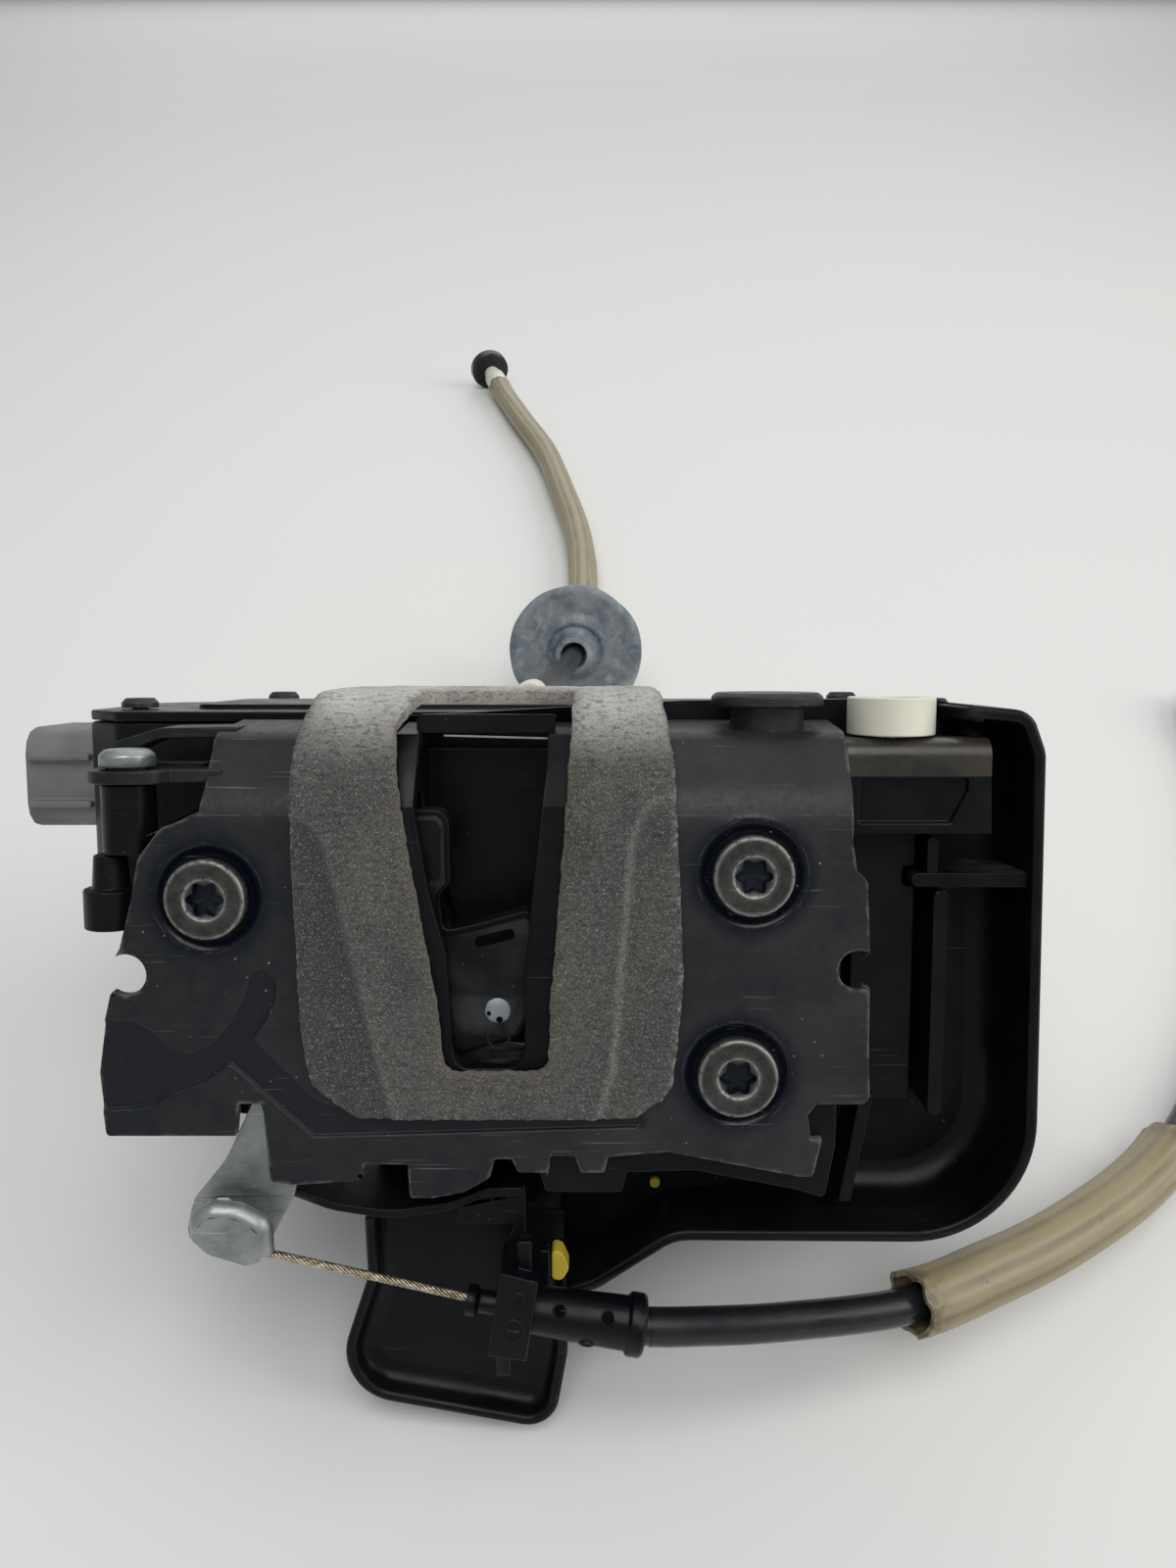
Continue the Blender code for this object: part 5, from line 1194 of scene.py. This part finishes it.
def thinned(path, length):
    """An open path without steps under 0.4 of a length, or over about four times it."""
    kept = [path[0]]
    for point in path[1:-1]:
        if (Vector(point) - Vector(kept[-1])).length >= 0.4 * length:
            kept.append(point)
    kept.append(path[-1])
    dense = []
    for a, b in zip(kept, kept[1:]):
        count = max(1, round((Vector(b) - Vector(a)).length / (4 * length)))
        dense += [tuple(Vector(a).lerp(Vector(b), n / count)) for n in range(count)]
    return dense + [kept[-1]]


# ---- the mouth

def make_claw_cover():
    """The claw's plastic skin: a near-black patch as painted shade for a slot in its lower jaw, a raised rim
    on its upper one, a dab of grease, and near-black fills as painted shade in two small pits.
    """
    node = frame["nodes"]["claw_cover"]
    cover = linked("claw_skin", node.data.copy())
    cover.data.transform(LATCH.inverted())
    # A near-black patch: painted shade standing for a slot in the lower jaw.
    slot = fillet([(-3.4, 14.7, 0.8), (3.0, 16.3, 0.8), (3.0, 18.1, 0.8), (-3.4, 16.5, 0.8)], 20.0)
    fitted("painted_slot_shade", slot, 3.82, 4.2, 0.05, body="claw_body", look="painted_shade_black")
    soften(cover, 0.25)
    settle(cover, "black_plastic", "claw_body", ("claw_cover",))

    def smeared(radius, _, angle):
        return radius * (1.0 + 0.06 * noise.noise((2 * cos(angle), 2 * sin(angle), 1.0)))
    drop = [(0.0, -0.45), (1.1, -0.4), (1.8, -0.2), (2.1, 0.0), (0.0, 0.0)]
    dab = lathe("grease_dab", drop, (0.2, 3.92, 4.3), BACK, 32, smeared)
    settle(dab, "white_plastic", "claw_body", look="grease")
    # Near-black fills: painted shade inside two small pits.
    for place, radius in (((0.5, 3.5, 2.9), 0.55), ((-1.2, 3.6, 3.9), 0.4)):
        pit_shade = [(0.0, -0.14), (radius * 0.8, -0.1), (radius, 0.05), (0.0, 0.3)]
        settle(lathe("pit_shade", pit_shade, place, BACK, 20), "black_plastic", "claw_body", look="painted_shade_black")
    ring = [(1.5, 0.0), (1.5, -0.25), (2.0, -0.25), (2.0, 0.0), (1.5, 0.0)]
    settle(lathe("boss_ring", ring, (0.3, 3.95, -0.2), BACK, 40), "black_plastic", "claw_body")
    lobe = fillet([(-12.4, 26.2, 1.2), (-8.9, 25.8, 1.2), (-8.9, 35.8, 1.4), (-13.6, 35.8, 1.4)], 15.0)
    fitted("lobe_pad", lobe, 3.55, 4.0, 0.12, body="claw_body")


def make_mouth_trim():
    """A dark sill with a bright metal edge across the mouth's top."""
    sill = fillet([(-13.4, 49.4, 0.6), (9.6, 49.4, 0.6), (9.6, 52.4, 0.6), (-13.4, 52.4, 0.6)], 20.0)
    fitted("mouth_sill", sill, 11.0, 13.0, 0.3)
    fitted("sill_edge", [(-9.0, 48.7), (9.0, 48.2), (9.0, 48.5), (-9.0, 49.0)], 11.4, 12.4, 0.06, "zinc")


# ---- small details of the mouldings

def make_block_cap():
    """The rounded front edge of the key lock's block, painted brown: a painted reflection, with dust."""
    outline = [(9.9, 42.2), *arc((13.15, 45.2), 3.25, 180.0, 90.0, 7.5), (16.0, 48.45), (16.0, 47.0),
               (11.2, 43.0)]
    settle(prism("block_cap", outline, 57.9, 81.75, "x"), "black_plastic", sharp=40.0, look="dust_and_sheen_plastic")


def ring_mark(name, x, y, z, radius):
    """A thin raised ring, as a mould leaves."""
    inner = radius - 0.32
    profile = [(inner, 0.1), (inner, -0.10), (radius - 0.08, -0.14), (radius, -0.08), (radius, 0.1),
               (inner, 0.1)]
    settle(lathe(name, profile, (x, y, z), BACK, 36), "black_plastic")


def make_marks():
    """Mould marks on the bracket and its clip, and the ferrule's dimples."""
    ring_mark("bracket_mark", 0.3, 5.75, -28.9, 1.6)
    ring_mark("clip_mark", 3.9, -5.4, -40.2, 1.1)
    ring_mark("clip_mark", 2.9, -5.4, -45.4, 1.8)
    bar = [(1.9, -45.2), (3.9, -45.5), (3.9, -45.9), (1.9, -45.6)]
    settle(prism("clip_bar", bar, -5.55, -5.3), "black_plastic")
    way = sloping(FERRULE_SLOPE)
    over = Vector((-way.z, 0.0, way.x))
    for run, turn in ((15.2, 34.0), (23.1, 34.0), (20.4, -48.0)):
        out = Vector((0.0, -1.0, 0.0)) * cos(radians(turn)) + over * sin(radians(turn))
        radius = 3.85 + 0.033 * (run - 12.0)
        foot = FERRULE_NOSE + way * run + out * radius
        lip = [(1.25, -0.3), (1.25, 0.12), (1.0, 0.2), (0.85, 0.05), (0.8, -0.25), (0.0, -0.3)]
        settle(lathe("dimple", lip, foot, out, 28), "black_plastic")
        # A near-black disc inside each dimple: painted shade.
        pit_shade = [(0.0, 0.03), (0.86, 0.03), (0.86, -0.3), (0.0, -0.3)]
        settle(lathe("hollow_shade", pit_shade, foot, out, 20), "black_plastic", look="painted_shade_black")


def make_lever():
    """The release lever: a plate, and a tab whose top edge rolls back to it."""
    outline = fillet([(-29.4, -4.4, 3.6), (-29.6, -11.0, 3.0), (-33.6, -26.8, 3.0), (-37.8, -34.6, 3.0),
                      (-47.0, -36.0, 4.0), (-51.4, -31.5, 3.5), (-50.0, -27.0, 2.5), (-44.6, -20.4, 12.0),
                      (-40.2, -11.0), (-38.2, -3.4, 4.0)])
    plate = prism("lever_plate", outline, 2.3, 3.7)
    cut(plate, rod("hole", (-45.3, 0.0, -28.3), BACK, 1.5, 8.0), rod("hole", LEVER_PIVOT, BACK, 2.2, 8.0))
    soften(plate, 0.2)
    settle(plate, "zinc", "release_lever_body", ("release_lever",))
    tab = fillet([(-47.4, -28.9, 0.8), (-46.3, -27.6, 2.0), (-43.1, -27.1, 3.0), (-39.7, -28.3, 2.0),
                  (-37.7, -30.4, 1.5), (-37.0, -34.6, 1.5), (-40.0, -35.3, 2.0), (-46.0, -33.4, 3.0),
                  (-48.9, -30.6, 1.2)], 15.0)
    fitted("lever_tab", tab, -4.2, -2.8, 0.12, "zinc", "release_lever_body")
    edge = fillet([(-49.5, -31.0), (-49.5, -27.6, 3.2), (-46.0, -25.2, 3.2), (-41.0, -25.4, 5.0),
                   (-35.9, -28.4, 3.6), (-35.8, -33.8)], 8.0, closed=False)
    roll = [(2.0, -4.17), (1.5, -4.12), (1.0, -3.85), (0.5, -3.4), (0.14, -2.8), (0.0, -2.2), (0.1, -1.8),
            (0.5, -1.6), (1.2, -1.8), (1.6, -2.4), (2.0, -2.8)]
    settle(rim_wall("lever_roll", thinned(edge, 1.0), 1.0, roll), "zinc", "release_lever_body", sharp=70.0)
    root = fillet([(-49.3, -29.4, 0.6), (-48.2, -27.4, 0.8), (-47.0, -28.2, 0.4), (-47.6, -31.8, 0.6),
                   (-49.0, -31.0, 0.6)], 20.0)
    fitted("lever_root", root, -3.4, 3.0, 0.2, "zinc", "release_lever_body")
    stamp = [(-44.6, -30.6), (-43.9, -30.7), (-43.8, -32.0), (-44.5, -31.9)]
    fitted("lever_stamp", stamp, -4.32, -4.0, 0.06, "zinc", "release_lever_body")


# ---- the release cable

def make_wire():
    """Six strands twisted round a seventh."""
    node_low, node_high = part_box("cable_wire")
    slope = radians(WIRE_SLOPE)
    way = sloping(WIRE_SLOPE)
    length = ((node_high - node_low).x / MM - 2 * WIRE_RADIUS * sin(slope)) / cos(slope)
    pitch, spread = 5.2, 0.5
    middle = LATCH.inverted() @ ((node_low + node_high) / 2) / MM
    low = middle - way * length / 2
    side = Vector((0.0, 1.0, 0.0))
    up = way.cross(side)
    count = int(length / 0.5)
    runs = []
    for strand in range(6):
        turns = [2 * pi / pitch * (length * n / count) + 2 * pi * strand / 6 for n in range(count + 1)]
        runs.append([low + way * (length * n / count) + side * (spread * cos(turn))
                     + up * (spread * sin(turn)) for n, turn in enumerate(turns)])
    wire = bars("wire_strands", runs, 0.2, 3)
    settle(wire, "wire_strand", "cable_core", ("cable_wire",))
    settle(rod("wire_core", low, way, 0.4, length, 16), "cable_jacket", "cable_core")


# ---- making it all

SOFT_EDGES = {                   # how far each node's edges are rounded
    "mouth_liner": 0.3, "mechanism_case": 0.3, "claw": 0.25, "pawl": 0.2,
    "key_lock_housing": 0.35, "main_housing": 0.5, "housing_cover": 0.35, "lower_case": 0.5,
    "corner_sleeve": 0.3, "corner_cup": 0.35, "corner_rivet": 0.3, "disc_stud": 0.3, "key_bush": 0.3,
    "cable_bracket": 0.25, "ferrule_clip": 0.3, "outer_cable_ferrule": 0.25, "yellow_stop": 0.3,
    "cable_nipple": 0.3, "connector_shell": 0.5, "back_plate": 0.25,
    **{f"cover_screw_{number}": 0.12 for number in range(1, 6)},
    "yellow_plug": 0.15, "lever_pin": 0.2, "claw_pin": 0.2, "pawl_pin": 0.2,
}

FINISHES = make_finishes()
for node, solid in frame["nodes"].items():
    solid.data.materials.clear()
    solid.data.materials.append(FINISHES[SLOTS[node]])
make_stage()
make_outer_cable()
make_inner_cable()
make_face_plate()
make_foam()
for name in SCREWS:
    make_screw(name)
make_tray()
make_claw_cover()
make_mouth_trim()
make_block_cap()
make_marks()
make_lever()
make_wire()
for node, width in SOFT_EDGES.items():
    softened(node, width)
